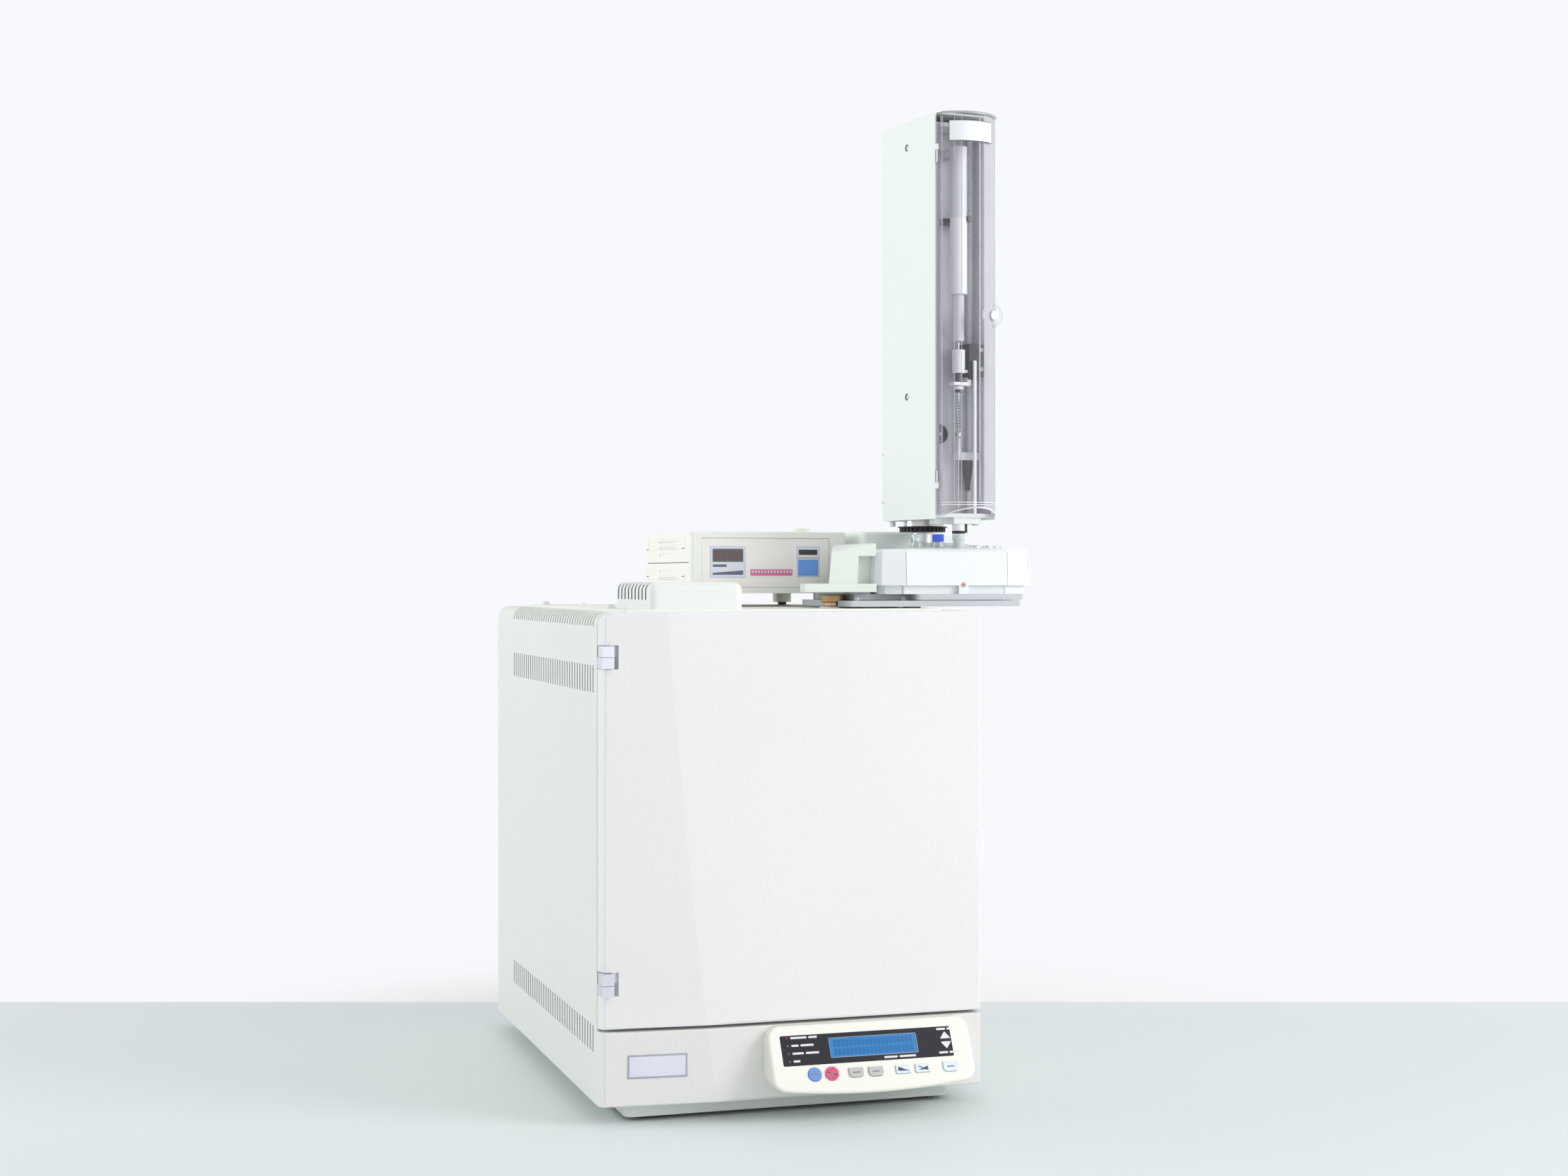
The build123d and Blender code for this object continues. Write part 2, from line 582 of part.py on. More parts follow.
def sampler_base_plate():
    """Lower plate on its bosses, notched round the injector and wider in front."""
    front = rounded(76, 262, 74, 226, PLATE_Z, CARRIER_Z, 5)
    rear = rounded(138, 262, 200, 300, PLATE_Z, CARRIER_Z, 5)
    bosses = [rod(x, y, PAD_Z, PLATE_Z, 9) for x, y in ((108, 98), (108, 212), (152, 98), (152, 270))]
    return joined([front, rear] + bosses) - rod(76, 120, PAD_Z, CARRIER_Z + 1, 14)


def sampler_carrier_plate():
    """Upper plate, whose left end is set back, on a thin web."""
    main = rounded(149, 264.5, 74.5, 290, CARRIER_Z + 0.6, SKIRT_Z, 4)
    step = block(90, 150, 96, 222, CARRIER_Z + 0.6, SKIRT_Z)
    web = block(120, 240, 100, 222, CARRIER_Z, CARRIER_Z + 0.6)
    return joined([main, step, web]) - rod(AXIS_X, AXIS_Y, CARRIER_Z - 1, SKIRT_Z + 1, 12)


def tray_outline(inset):
    """Plan of the tray: a flat front facet, two facets turned back and cut rear corners."""
    x0, x1, y0, y1 = TRAY_X0 + inset, TRAY_X1 - inset, TRAY_Y0 + inset, TRAY_Y1
    return [
        (137.5, y0), (246.7, y0), (271.7 - inset * 0.6, y0 + 6.7), (282 - inset, y0 + 24),
        (x1, y0 + 48), (x1, y1 - 30), (x1 - 26, y1), (x0, y1), (x0, y0 + 14), (113.5 + inset, y0 + 6.4),
    ]


def tray_body():
    """Leaning walls of the tray with a sloped rim and the two seams of its front facet."""
    rim = 3.0
    plan = make_face(Polyline(*tray_outline(0.0), close=True))
    walls = Pos(0, 0, TRAY_Z) * extrude(plan, TRAY_TOP - rim - TRAY_Z, taper=TRAY_DRAFT)
    walls += extrude(walls.faces().sort_by(Axis.Z)[-1], rim, taper=45)
    seams = []
    for x in TRAY_SEAMS:
        seams.append(Pos(x, TRAY_Y0, TRAY_Z) * Rot(-TRAY_DRAFT, 0, 0) * Box(0.6, 1.6, 2 * (TRAY_TOP - TRAY_Z)))
    return walls - seams


def vial_tray():
    """Faceted vial tray on its skirt, with a seat at each station and the injection port."""
    skirt = prism(tray_outline(5.0), SKIRT_Z, TRAY_Z)
    tab = block(193.5, 204, TRAY_Y0 + 1, TRAY_Y0 + 6, SKIRT_Z, TRAY_Z)
    tray = joined([skirt, tray_body(), tab]) - rod(AXIS_X, AXIS_Y, SKIRT_Z - 1, TRAY_TOP + 1, 12)
    for k in range(-3, 5):
        x, y = station(k)
        tray -= rod(x, y, seat_z(k), TRAY_TOP + 1, VIAL_R + 0.4)
    x, y = station(-6)
    return tray - rod(x, y, SKIRT_Z - 1, TRAY_TOP + 1, PORT_R)


def seat_z(k):
    """Floor of a vial seat: the wash vials stand higher than the samples."""
    return GUIDE_Z - 0.6 - VIAL_H if k <= 0 else TRAY_TOP + 4 - VIAL_H


def vials():
    """Open-necked vials in the tray: glass body, neck and pierced cap."""
    out = []
    for k in (-2, -1, 0, 1, 2, 3, 4):
        x, y = station(k)
        z = seat_z(k)
        body = rod(x, y, z, z + 22, VIAL_R)
        shoulder = cone(x, y, z + 22, z + 25, VIAL_R, 3.9)
        cap = rod(x, y, z + 25, z + VIAL_H, VIAL_R - 0.3)
        well = rod(x, y, z + 1.5, z + VIAL_H + 1, 2.5)
        out.append(joined([body, shoulder, cap]) - well)
    return group(out)


def injector_shroud():
    """Wedge housing over the injector, with a front bay open to the tray, on the flat arm plate."""
    arm = rounded(25, TRAY_X0, 80, 210, 496, 504.5, 4) & block(0, TRAY_X0, 80, 210, 490, 510)
    bridge = block(90, TRAY_X0, 98, 205, SKIRT_Z, 496)
    lean = (544.5 - TRAY_Z) * tan(radians(TRAY_DRAFT))
    wedge = prism_y([(59.5, 504.5), (62.5, 535.5), (TRAY_X0 + lean, 544.5), (TRAY_X0, TRAY_Z)], 86, 205)
    bay = block(90, TRAY_X0 + 4, 80, 100, 504.5, 532)
    return joined([arm, bridge, wedge]) - bay


def drive_housing():
    """Electronics housing behind the tray."""
    outer = rounded(140, 255, TRAY_Y1, 325, SKIRT_Z, 559, 6)
    outer = fillet(outer.edges().group_by(Axis.Z)[-1], 4)
    return outer - block(143, 252, TRAY_Y1 + 3, 322, SKIRT_Z - 1, 555)


def turret_post():
    """Fixed post that the tower turns on."""
    return rod(AXIS_X, AXIS_Y, CARRIER_Z, 557, 11.9) + rod(AXIS_X, AXIS_Y, 557, 606, POST_R)


# ---------------------------------------------------------------- autosampler tower
def tower_place():
    """Location of the tower's own frame: on the turret axis, turned, -Y to its front."""
    return Pos(AXIS_X, AXIS_Y, 0) * Rot(0, 0, TURN)


def turret_pulley():
    """Toothed drive pulley under the tower, with the flange that keeps its belt on."""
    outline = []
    for i in range(PULLEY_TEETH):
        for share, radius in ((0.0, PULLEY_ROOT), (0.3, PULLEY_ROOT), (0.42, PULLEY_R), (0.88, PULLEY_R)):
            angle = 2 * pi * (i + share) / PULLEY_TEETH
            outline.append((radius * cos(angle), radius * sin(angle)))
    pulley = prism(outline, 558, 562.6) + rod(0, 0, 562.6, 563.6, PULLEY_R + 2)
    return tower_place() * (pulley - rod(0, 0, 550, 570, POST_R + RUN))


def tower_chassis():
    """Bottom and top plates, bulkhead, bearing ring and the arm with the needle guide."""
    w = TOWER_HALF_W - TOWER_WALL
    ring = rod(0, 0, 563.6, 571.5, 19.5)
    floor = block(-w, w, TOWER_FRONT + 6, TOWER_BACK - TOWER_WALL, 571.5, 575.5)
    roof = block(-w, w, TOWER_FRONT + 6, TOWER_BACK - TOWER_WALL, 966, 970)
    bulkhead = block(-w, w, -50, -47, 575.5, 966)
    column = rod(0, 0, 575.5, 606, 14)
    arm = rounded(-25, 25, -84, -56, 565, 571.5, 7) - rounded(-40, -9, -100, -72, 560, 572, 5)
    standoffs = [rod(a, b, 563.6, 571.5, 3) for a, b in ((-29, 12), (29, 12), (20, -76))]
    guide = rod(0, -NEEDLE_R, GUIDE_Z, 565.0, 6.3)
    solids = joined([ring, floor, roof, bulkhead, column, arm, guide] + standoffs)
    solids -= rod(0, 0, 550, 607, POST_R + RUN)
    solids -= rod(0, -NEEDLE_R, 550, 580, 1.2)
    return tower_place() * solids


def tower_cover():
    """Painted cover: sides, back and top in one shell, with dimples and hinge ears."""
    w, t = TOWER_HALF_W, TOWER_WALL
    outer = block(-w, w, TOWER_FRONT, TOWER_BACK, TOWER_Z0, TOWER_Z1)
    outer = fillet(outer.edges().filter_by(Axis.Z).group_by(Axis.Y)[-1], 3)
    outer = fillet(outer.faces().sort_by(Axis.Z)[-1].edges().filter_by(Axis.Y), 1.5)
    shell = outer - block(-w + t, w - t, TOWER_FRONT - 1, TOWER_BACK - t, TOWER_Z0 - 1, TOWER_Z1 - t)
    shell -= [Pos(-w, -32, z) * Rot(0, 90, 0) * Cylinder(3.2, 6) for z in (952, 696)]
    for ear_end, joint, barrel_end in EAR_SPANS:
        low, high = min(ear_end, joint), max(ear_end, joint)
        shell += rod(HINGE_A, HINGE_B, low, high, 1.8)
        shell += block(-w, -w + t, HINGE_B, TOWER_FRONT + 2, low, high)
        shell += rod(HINGE_A, HINGE_B, min(ear_end, barrel_end), max(ear_end, barrel_end), 0.8)
    return tower_place() * shell


def bulge_arc(inset):
    """Plan arc of the clear cover's front, drawn in by a wall thickness."""
    half = TOWER_HALF_W - 0.4 - inset
    front = TOWER_FRONT - 1.0
    return (-half, front), (0, front - COVER_BULGE + inset), (half, front)


def clear_cover():
    """Bowed clear cover, open at the back, with an arched lower edge and a round grip."""
    plans = []
    for inset in (0.0, 2.0):
        a, b, c = bulge_arc(inset)
        plans.append(make_face([ThreePointArc(a, b, c), Line(c, a)]))
    z0, z1 = 566.5, TOWER_Z1 - 0.5
    shell = Pos(0, 0, z0) * extrude(plans[0], z1 - z0) - Pos(0, 0, z0 - 1) * extrude(plans[1], z1 - z0 - 1)
    shell -= Pos(3, -120, 560) * Rot(90, 0, 0) * Cylinder(26, 80)
    shell += rod_y(TOWER_HALF_W - 9, 792, TOWER_FRONT - 15, TOWER_FRONT - 7, 4.5)
    for ear_end, joint, barrel_end in EAR_SPANS:
        side = 0.3 if barrel_end > joint else -0.3
        low, high = sorted((joint + side, barrel_end))
        shell += rod(HINGE_A, HINGE_B, low, high, 1.8)
        shell -= rod(HINGE_A, HINGE_B, low - 1, high + 1, 0.8 + RUN)
        low, high = sorted((ear_end - side, joint + side))
        shell -= rod(HINGE_A, HINGE_B, low, high, 3.0)
    return tower_place() * shell


def guide_rods():
    """Carriage rod with its lower block, the lead screw and the plunger drive's tube."""
    rod_solid = rod(16, -70, 575.5, 740, 2.6) + block(4, 20.5, -67, -50, 632, 641)
    rod_solid += block(13, 19, -70, -62, 632, 641)
    rod_solid += cone(11, -60, 604, 632, 3.2, 6.5)
    screw = rod(24, -58, 575.5, 966, 3.0)
    tube = rod(0, -NEEDLE_R, 798, 948, 8.5) - rod(0, -NEEDLE_R, 797, 949, 7.0)
    bracket = block(-6, 6, -70, -50, 940, 948) - rod(0, -NEEDLE_R, 797, 949, 8.5)
    tube = tube + bracket
    return tower_place() * group([rod_solid, screw, tube])


def carriage():
    """Black carriage block on the rod and screw, with the white syringe clamp."""
    main = block(10, 31, -82, -52, 706, 742)
    clamp = block(-10, 11, -82, -72, 697, 703) + block(-5, 11, -82, -70, 703, 718)
    solid = main + clamp
    solid -= rod(16, -70, 700, 750, 2.6 + RUN)
    solid -= rod(24, -58, 700, 750, 3.0 + RUN)
    return tower_place() * (solid - rod(0, -NEEDLE_R, 690, 720, 3.4))


def syringe_barrel():
    """Glass syringe with its needle."""
    barrel = rod(0, -NEEDLE_R, 655, 726, 3.4) - rod(0, -NEEDLE_R, 660, 727, 1.0)
    needle = rod(0, -NEEDLE_R, 557.5, 655, 0.45)
    collar = rod(0, -NEEDLE_R, 718, 722, 6.5) - rod(0, -NEEDLE_R, 700, 727, 1.0)
    return tower_place() * joined([barrel, needle, collar])


def plunger():
    """Plunger wire, its head and the drive rod that runs up into the tube."""
    wire = rod(0, -NEEDLE_R, 690, 758, 0.95)
    head = rod(0, -NEEDLE_R, 756, 762, 5.5)
    drive = rod(0, -NEEDLE_R, 762, 900, 2.0)
    return tower_place() * joined([wire, head, drive])


def belt_pulley():
    """Belt pulley of the carriage drive on the bulkhead."""
    wheel = rod_y(-14, 657, -62, -54, 10) - rod_y(-14, 657, -63, -53, 2 + RUN)
    return tower_place() * wheel


def belt_axle():
    return tower_place() * rod_y(-14, 657, -63, -50, 2)


# ---------------------------------------------------------------- build every node
parts["base_plinth"] = base_plinth()
parts["feet"] = feet()
parts["side_panel_left"] = side_panel(-1)
parts["side_panel_right"] = side_panel(1)
parts["rear_panel"] = rear_panel()
parts["top_panel"] = top_panel()
parts["front_frame"] = front_frame()
parts["lower_bezel"] = lower_bezel()
parts["badge_plate"] = badge_form()
parts["rear_fittings"] = rear_fittings()
parts["exhaust_flap"] = exhaust_flap()
parts["power_inlet"] = power_inlet()
parts["power_rocker"] = power_rocker()

parts["oven_casing"] = oven_casing()
parts["oven_liner"] = oven_liner()
parts["fan_shroud"] = fan_shroud()
parts["oven_fan"] = oven_fan()
parts["fan_motor"] = fan_motor()
parts["column_coil"] = column_coil()

parts["keypad_housing"] = keypad_housing()
parts["keypad_panel"] = keypad_panel()
parts["key_board"] = key_board()
for key_name in KEYS:
    parts[key_name] = key(key_name)

parts["door_shell"] = door_shell()
parts["door_insulation"] = door_insulation()
parts["door_liner"] = door_liner()
parts["door_gasket"] = door_gasket()
parts["latch_tab"] = latch_tab()
parts["hinge_leaf_body"] = group([hinge_leaf(z0, z1, True) for z0, z1 in HINGE_SPANS])
parts["hinge_leaf_door"] = group([hinge_leaf(z0, z1, False) for z0, z1 in HINGE_SPANS])

parts["detector_cover"] = detector_cover()
parts["injector_nut"] = injector_nut()
parts["sensor_base"] = sensor_base()
parts["sensor_lid"] = sensor_lid()
parts["sensor_front_panel"] = sensor_front_panel()
parts["reset_key"] = reset_key()

parts["sampler_base_plate"] = sampler_base_plate()
parts["sampler_carrier_plate"] = sampler_carrier_plate()
parts["vial_tray"] = vial_tray()
parts["vials"] = vials()
parts["injector_shroud"] = injector_shroud()
parts["drive_housing"] = drive_housing()
parts["turret_post"] = turret_post()

parts["turret_pulley"] = turret_pulley()
parts["tower_chassis"] = tower_chassis() + belt_axle()
parts["tower_cover"] = tower_cover()
parts["clear_cover"] = clear_cover()
parts["guide_rods"] = guide_rods()
parts["carriage"] = carriage()
parts["syringe_barrel"] = syringe_barrel()
parts["plunger"] = plunger()
parts["belt_pulley"] = belt_pulley()

# The row's origin is the middle of the whole object's box, on the bench.
boxes = [solid.bounding_box() for solid in parts.values()]
mid_x = (min(b.min.X for b in boxes) + max(b.max.X for b in boxes)) / 2
mid_y = (min(b.min.Y for b in boxes) + max(b.max.Y for b in boxes)) / 2
print("origin in the modelling frame:", round(mid_x, 3), round(mid_y, 3), 0)

os.makedirs("parts", exist_ok=True)
for name, solid in parts.items():
    export_step(Pos(-mid_x, -mid_y, 0) * solid, f"parts/{name}.step")
print(len(parts), "nodes")
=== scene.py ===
import bmesh
import bpy
import numpy as np
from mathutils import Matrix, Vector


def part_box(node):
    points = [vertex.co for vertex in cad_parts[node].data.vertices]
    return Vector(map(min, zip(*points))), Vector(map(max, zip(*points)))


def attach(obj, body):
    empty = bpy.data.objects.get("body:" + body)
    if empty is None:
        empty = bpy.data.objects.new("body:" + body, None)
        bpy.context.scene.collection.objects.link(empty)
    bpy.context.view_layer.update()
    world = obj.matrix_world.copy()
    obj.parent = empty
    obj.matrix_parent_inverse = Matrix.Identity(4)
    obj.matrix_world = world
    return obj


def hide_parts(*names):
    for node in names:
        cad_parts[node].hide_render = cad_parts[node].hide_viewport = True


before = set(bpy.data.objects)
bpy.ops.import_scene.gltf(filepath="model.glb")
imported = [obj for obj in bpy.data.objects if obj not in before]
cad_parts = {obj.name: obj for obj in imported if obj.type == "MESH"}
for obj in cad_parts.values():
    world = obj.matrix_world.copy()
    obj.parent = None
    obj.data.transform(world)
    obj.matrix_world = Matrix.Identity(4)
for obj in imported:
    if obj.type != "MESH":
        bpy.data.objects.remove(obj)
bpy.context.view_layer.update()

# ---------------------------------------------------------------- camera
# The camera stands to the left of the cabinet and half a metre above the bench. It looks
# level, so that upright edges stay upright, and its frame is shifted a little downwards.
left_side, right_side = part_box("side_panel_left"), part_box("side_panel_right")
SEAM = 22.0  # mm from the flat front back to the side panels' front edge
home = np.array([(left_side[0].x + right_side[1].x) / 2, left_side[0].y - SEAM / 1000, 0.0])
TURN_OF_CAMERA = np.radians(17.47)
CAMERA_PLACE = (-0.67328, -2.095, 0.51151)  # metres from the middle of the cabinet's front edge
SENSOR_WIDTH = 36  # mm
LENS = 53.265  # mm
FRAME_SHIFT = -0.00728  # share of the frame's width
camera = bpy.data.objects.new("camera", bpy.data.cameras.new("camera"))
bpy.context.scene.collection.objects.link(camera)
bpy.context.scene.camera = camera
camera.location = home + CAMERA_PLACE
camera.rotation_euler = (np.pi / 2, 0, -TURN_OF_CAMERA)
camera.data.sensor_width = SENSOR_WIDTH
camera.data.lens = LENS
camera.data.shift_y = FRAME_SHIFT


# ---------------------------------------------------------------- bench and light
# A pale grey bench top that ends in a white wall behind the cabinet, lit by a white sky and
# three large soft lamps. None of it belongs to the object.
class Shade:
    """One value in a material's nodes. Arithmetic on it adds Math nodes."""

    def __init__(self, finish, socket):
        self.finish = finish
        self.socket = socket

    def math(self, operation, first, second):
        return self.finish.math(operation, first, second)

    def __add__(self, other):
        return self.math("ADD", self, other)

    def __radd__(self, other):
        return self.math("ADD", other, self)

    def __sub__(self, other):
        return self.math("SUBTRACT", self, other)

    def __rsub__(self, other):
        return self.math("SUBTRACT", other, self)

    def __mul__(self, other):
        return self.math("MULTIPLY", self, other)

    def __rmul__(self, other):
        return self.math("MULTIPLY", other, self)

    def __gt__(self, other):
        return self.math("GREATER_THAN", self, other)


class Finish:
    """A material in the making: its node tree, one method that adds any node, and short names for
    the common ones."""

    def __init__(self, name, shader="ShaderNodeBsdfPrincipled", kept_in=bpy.data.materials, **settings):
        self.made = kept_in.new(name)
        self.made.use_nodes = True
        self.tree = self.made.node_tree
        self.tree.nodes.clear()
        sockets = {key.replace("_", " "): value for key, value in settings.items()}
        self.shader = self.node(shader, {}, sockets)
        self.place = self.node("ShaderNodeTexCoord", output="Object")
        self.show(self.shader)

    def show(self, shader):
        """Sends a shader to the output, in place of an earlier one."""
        kind = "World" if isinstance(self.made, bpy.types.World) else "Material"
        self.end = getattr(self, "end", None) or self.tree.nodes.new("ShaderNodeOutput" + kind)
        self.tree.links.new(shader.socket, self.end.inputs["Surface"])

    def math(self, operation, first, second):
        return self.node("ShaderNodeMath", {"operation": operation}, {0: first, 1: second})

    def node(self, kind, settings=None, inputs=None, output=0):
        made = self.tree.nodes.new(kind)
        for key, value in (settings or {}).items():
            setattr(made, key, value)
        for key, value in (inputs or {}).items():
            if isinstance(value, Shade):
                self.tree.links.new(value.socket, made.inputs[key])
            else:
                made.inputs[key].default_value = value
        return Shade(self, made.outputs[output])

    def feed(self, **values):
        """Links values to the shader's sockets: base_color=... goes to Base Color."""
        for key, value in values.items():
            self.tree.links.new(
                value.socket, self.shader.socket.node.inputs[key.replace("_", " ").title()],
            )

    def mixed(self, share, first, second):
        return self.node("ShaderNodeMix", {"data_type": "RGBA"}, {0: share, 6: first, 7: second}, 2)

    def noise(self, scale, detail=3.0, stretch=(1, 1, 1)):
        place = self.node("ShaderNodeMapping", {}, {"Vector": self.place, "Scale": stretch})
        return self.node("ShaderNodeTexNoise", {}, {"Vector": place, "Scale": scale, "Detail": detail})

    def relief(self, height, depth, strength=1.0):
        """Bump of a height from 0 to 1 over a depth in millimetres."""
        inputs = {"Height": height, "Distance": depth / 1000, "Strength": strength}
        bump = self.node("ShaderNodeBump", {}, inputs)
        self.feed(normal=bump)


def rgb(red, green, blue):
    """A colour from its 0-255 values on a screen, as the shader wants it."""
    screen = np.array([red, green, blue]) / 255
    linear = np.where(screen > 0.04045, ((screen + 0.055) / 1.055) ** 2.4, screen / 12.92)
    return (*linear.tolist(), 1.0)


WALL_WHITE = rgb(248, 249, 252)
FLOOR_WHITE = rgb(244, 244, 246)  # as bright as the wall once the lamps light it
BENCH_END = 2.79  # metres from the camera, straight ahead
HALF_FLOOR = 6  # metres
ahead = np.array([np.sin(TURN_OF_CAMERA), np.cos(TURN_OF_CAMERA), 0.0])
bench = Finish("bench_top", Roughness=0.45)
distance = bench.node(
    "ShaderNodeVectorMath", {"operation": "DOT_PRODUCT"}, {0: bench.place, 1: ahead}, "Value",
)
past_end = distance > BENCH_END + float(np.dot(camera.location, ahead))
cloudy = bench.noise(3.0)
bench_colour = bench.mixed(cloudy, rgb(219, 227, 229), rgb(225, 232, 233))
bench.feed(base_color=bench.mixed(past_end, bench_colour, FLOOR_WHITE), roughness=0.4 + 0.2 * cloudy)
# Beyond the bench's end, and clear of the object, the camera sees the floor as white as the wall.
BARE, CLEAR = 0.35, 0.8  # metres from the object's middle
away = bench.node("ShaderNodeVectorMath", {"operation": "LENGTH"}, {0: bench.place}, "Value")
fading = {"Value": away, "From Min": BARE, "From Max": CLEAR}
away = bench.node("ShaderNodeMapRange", {"interpolation_type": "SMOOTHSTEP"}, fading)
glow = bench.node("ShaderNodeEmission", {}, {"Color": WALL_WHITE, "Strength": 1.0})
eyes = bench.node("ShaderNodeLightPath", output="Is Camera Ray")
bench.show(bench.node("ShaderNodeMixShader", {}, {0: past_end * away * eyes, 1: bench.shader, 2: glow}))
floor = bpy.data.objects.new("floor", bpy.data.meshes.new("floor"))
floor_corners = [(HALF_FLOOR * x, HALF_FLOOR * y, 0) for x, y in ((-1, -1), (1, -1), (1, 1), (-1, 1))]
floor.data.from_pydata(floor_corners, [], [(0, 1, 2, 3)])
floor.data.materials.append(bench.made)
bpy.context.scene.collection.objects.link(floor)

SKY_STRENGTH = 0.68
sky = Finish(
    "sky", "ShaderNodeBackground", bpy.data.worlds, Color=rgb(255, 255, 255), Strength=SKY_STRENGTH,
)
bpy.context.scene.world = sky.made
wall = sky.node("ShaderNodeBackground", {}, {"Color": WALL_WHITE, "Strength": 1.0})
rays = ("Is Camera Ray", "Is Glossy Ray", "Is Transmission Ray")
seen, mirrored, through = [sky.node("ShaderNodeLightPath", output=ray) for ray in rays]
wall_share = sky.math("MAXIMUM", seen, mirrored + through)
sky.show(sky.node("ShaderNodeMixShader", {}, {0: wall_share, 1: sky.shader, 2: wall}))


def lamp(name, place, aim, size, power):
    """A square soft lamp that faces a point. Both are in metres from the middle of the cabinet's
    front edge, its size is in metres and its power in watts."""
    made = bpy.data.objects.new(name, bpy.data.lights.new(name, "AREA"))
    bpy.context.scene.collection.objects.link(made)
    made.data.size = size
    made.data.energy = power
    made.location = home + place
    line = home + aim - np.array(made.location)
    made.rotation_euler = (np.arccos(-line[2] / np.linalg.norm(line)), 0, np.arctan2(-line[0], line[1]))
    return made


CABINET_MIDDLE = np.array([0.0, 0.2, 0.4])
TRAY_MIDDLE = np.array([0.2, 0.2, 0.55])
lamp("key_lamp", np.array([2.5, -1.75, 1.7]), CABINET_MIDDLE, 1.6, 57)
lamp("fill_lamp", np.array([0.9, -2.6, 0.8]), TRAY_MIDDLE, 0.9, 3)
lamp("side_lamp", np.array([-2.6, 1.1, 1.3]), CABINET_MIDDLE, 1.8, 27)
bpy.context.scene.view_settings.view_transform = "Standard"


# ---------------------------------------------------------------- painted case
# Folded steel sheets, powder-coated in a pale greenish off-white: base with its skirt, two
# slotted sides, back and top. The paint is semi-matt with a fine orange-peel skin.
def coated(name, colour, other, rough, peel=260, depth=0.05, drift=7.0, speckle=0.0, **shader):
    """Paint or moulded plastic: a colour that drifts towards another, and a skin of fine bumps.

    peel is the number of bumps in a metre, depth their height in mm, and drift the number of
    patches in a metre. speckle is the share of the grain in the change of colour."""
    made = Finish(name, **shader)
    patches = made.noise(drift, 4.0)
    grain = made.noise(peel, 2.0)
    share = patches if not speckle else patches * (1 - speckle) + grain * speckle
    gloss = rough + 0.16 * (patches - 0.5) + 0.1 * (grain - 0.5)
    made.feed(base_color=made.mixed(share, rgb(*colour), rgb(*other)), roughness=gloss)
    made.relief(grain, depth)
    return made


def dress(finish, *nodes):
    """Gives solid pieces their finish."""
    for name in nodes:
        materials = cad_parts[name].data.materials
        materials.clear()
        materials.append(finish.made)


case_paint = coated("case_paint", (230, 234, 228), (225, 230, 223), 0.42, IOR=1.45)
dress(case_paint, "side_panel_left", "side_panel_right", "rear_panel", "base_plinth")
# The top sheet takes a lighter copy of the case paint: painted light that brightens the top as if lit
# from above and offsets the shade under the sensor box.
lit_top_paint = coated("lit_top_paint", (243, 246, 241), (238, 241, 236), 0.42, IOR=1.45)
dress(lit_top_paint, "top_panel")
flap_paint = coated("flap_paint", (222, 228, 218), (214, 220, 212), 0.46)
dress(flap_paint, "exhaust_flap")


def at(seat, x=0.0, y=0.0, z=0.0):
    """A seat moved by x, y and z along its own directions. A seat is a point and two directions at right
    angles; the third is their cross product and points out of the surface that the seat lies on."""
    point, across, up = (np.asarray(v, float) for v in seat)
    return point + x * across + y * up + z * np.cross(across, up), across, up


def placed(seat, rows):
    """Points of a grid, in mm along a seat's three directions, moved there in the cabinet's frame."""
    point, across, up = (np.asarray(v, float) for v in seat)
    return point + rows[..., :1] * across + rows[..., 1:2] * up + rows[..., 2:3] * np.cross(across, up)


def skin(rows, ends=True):
    """Points and faces of a grid that closes on itself along each row: point j of row i joins its
    neighbours in a quad, and a polygon shuts the first and the last row."""
    count, around = rows.shape[:2]
    place = np.arange(count * around).reshape(count, around)
    below, beside = place[:-1], np.roll(place, -1, 1)
    quads = np.stack([below, beside[:-1], beside[1:], place[1:]], 2).reshape(-1, 4).tolist()
    if ends:
        quads += [place[0, ::-1].tolist(), place[-1].tolist()]
    return rows.reshape(-1, 3), quads


def piece(name, skins, finish, body, slot, *nodes, crisp=38):
    """One object of the given skins, in metres in the model's frame, with its finish, on its body.

    Edges sharper than crisp degrees stay hard, and nodes are the solid pieces that it stands for."""
    starts = np.cumsum([0] + [len(points) for points, quads in skins])
    faces = []
    for start, (points, quads) in zip(starts, skins):
        faces += [[int(corner + start) for corner in face] for face in quads]
    mesh = bpy.data.meshes.new(name)
    mesh.from_pydata(home + np.concatenate([points for points, quads in skins]) / 1000, [], faces)
    made = bpy.data.objects.new(name, mesh)
    bpy.context.scene.collection.objects.link(made)
    work = bmesh.new()
    work.from_mesh(mesh)
    bmesh.ops.recalc_face_normals(work, faces=work.faces)
    work.to_mesh(mesh)
    work.free()
    mesh.shade_smooth()
    mesh.set_sharp_from_angle(angle=np.radians(crisp))
    made.modifiers.new("even", "WEIGHTED_NORMAL").keep_sharp = True
    mesh.materials.append(finish.made)
    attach(made, body)
    if nodes:
        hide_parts(*nodes)
    return made


def turned(profile, around=32):
    """Rows of circles about the third axis, one for each (radius, height) of a profile."""
    radius, height = np.array(profile, float).T[:, :, None]
    angle = np.linspace(0, 2 * np.pi, around, endpoint=False)
    return np.stack([radius * np.cos(angle), radius * np.sin(angle), height + 0 * angle], 2)


def turning(seat, profile, around=32, ends=True):
    """A turned shape that stands on a seat."""
    return skin(placed(seat, turned(profile, around)), ends)


def hoop(seat, profile, around=32):
    """A turned ring on a seat; its profile is a loop whose last point joins the first."""
    return turning(seat, [*profile, profile[0]], around, ends=False)


def screw(seat, radius, height):
    """A cross-recessed screw head on a seat."""
    return skin(placed(seat, screw_head(radius, height)))


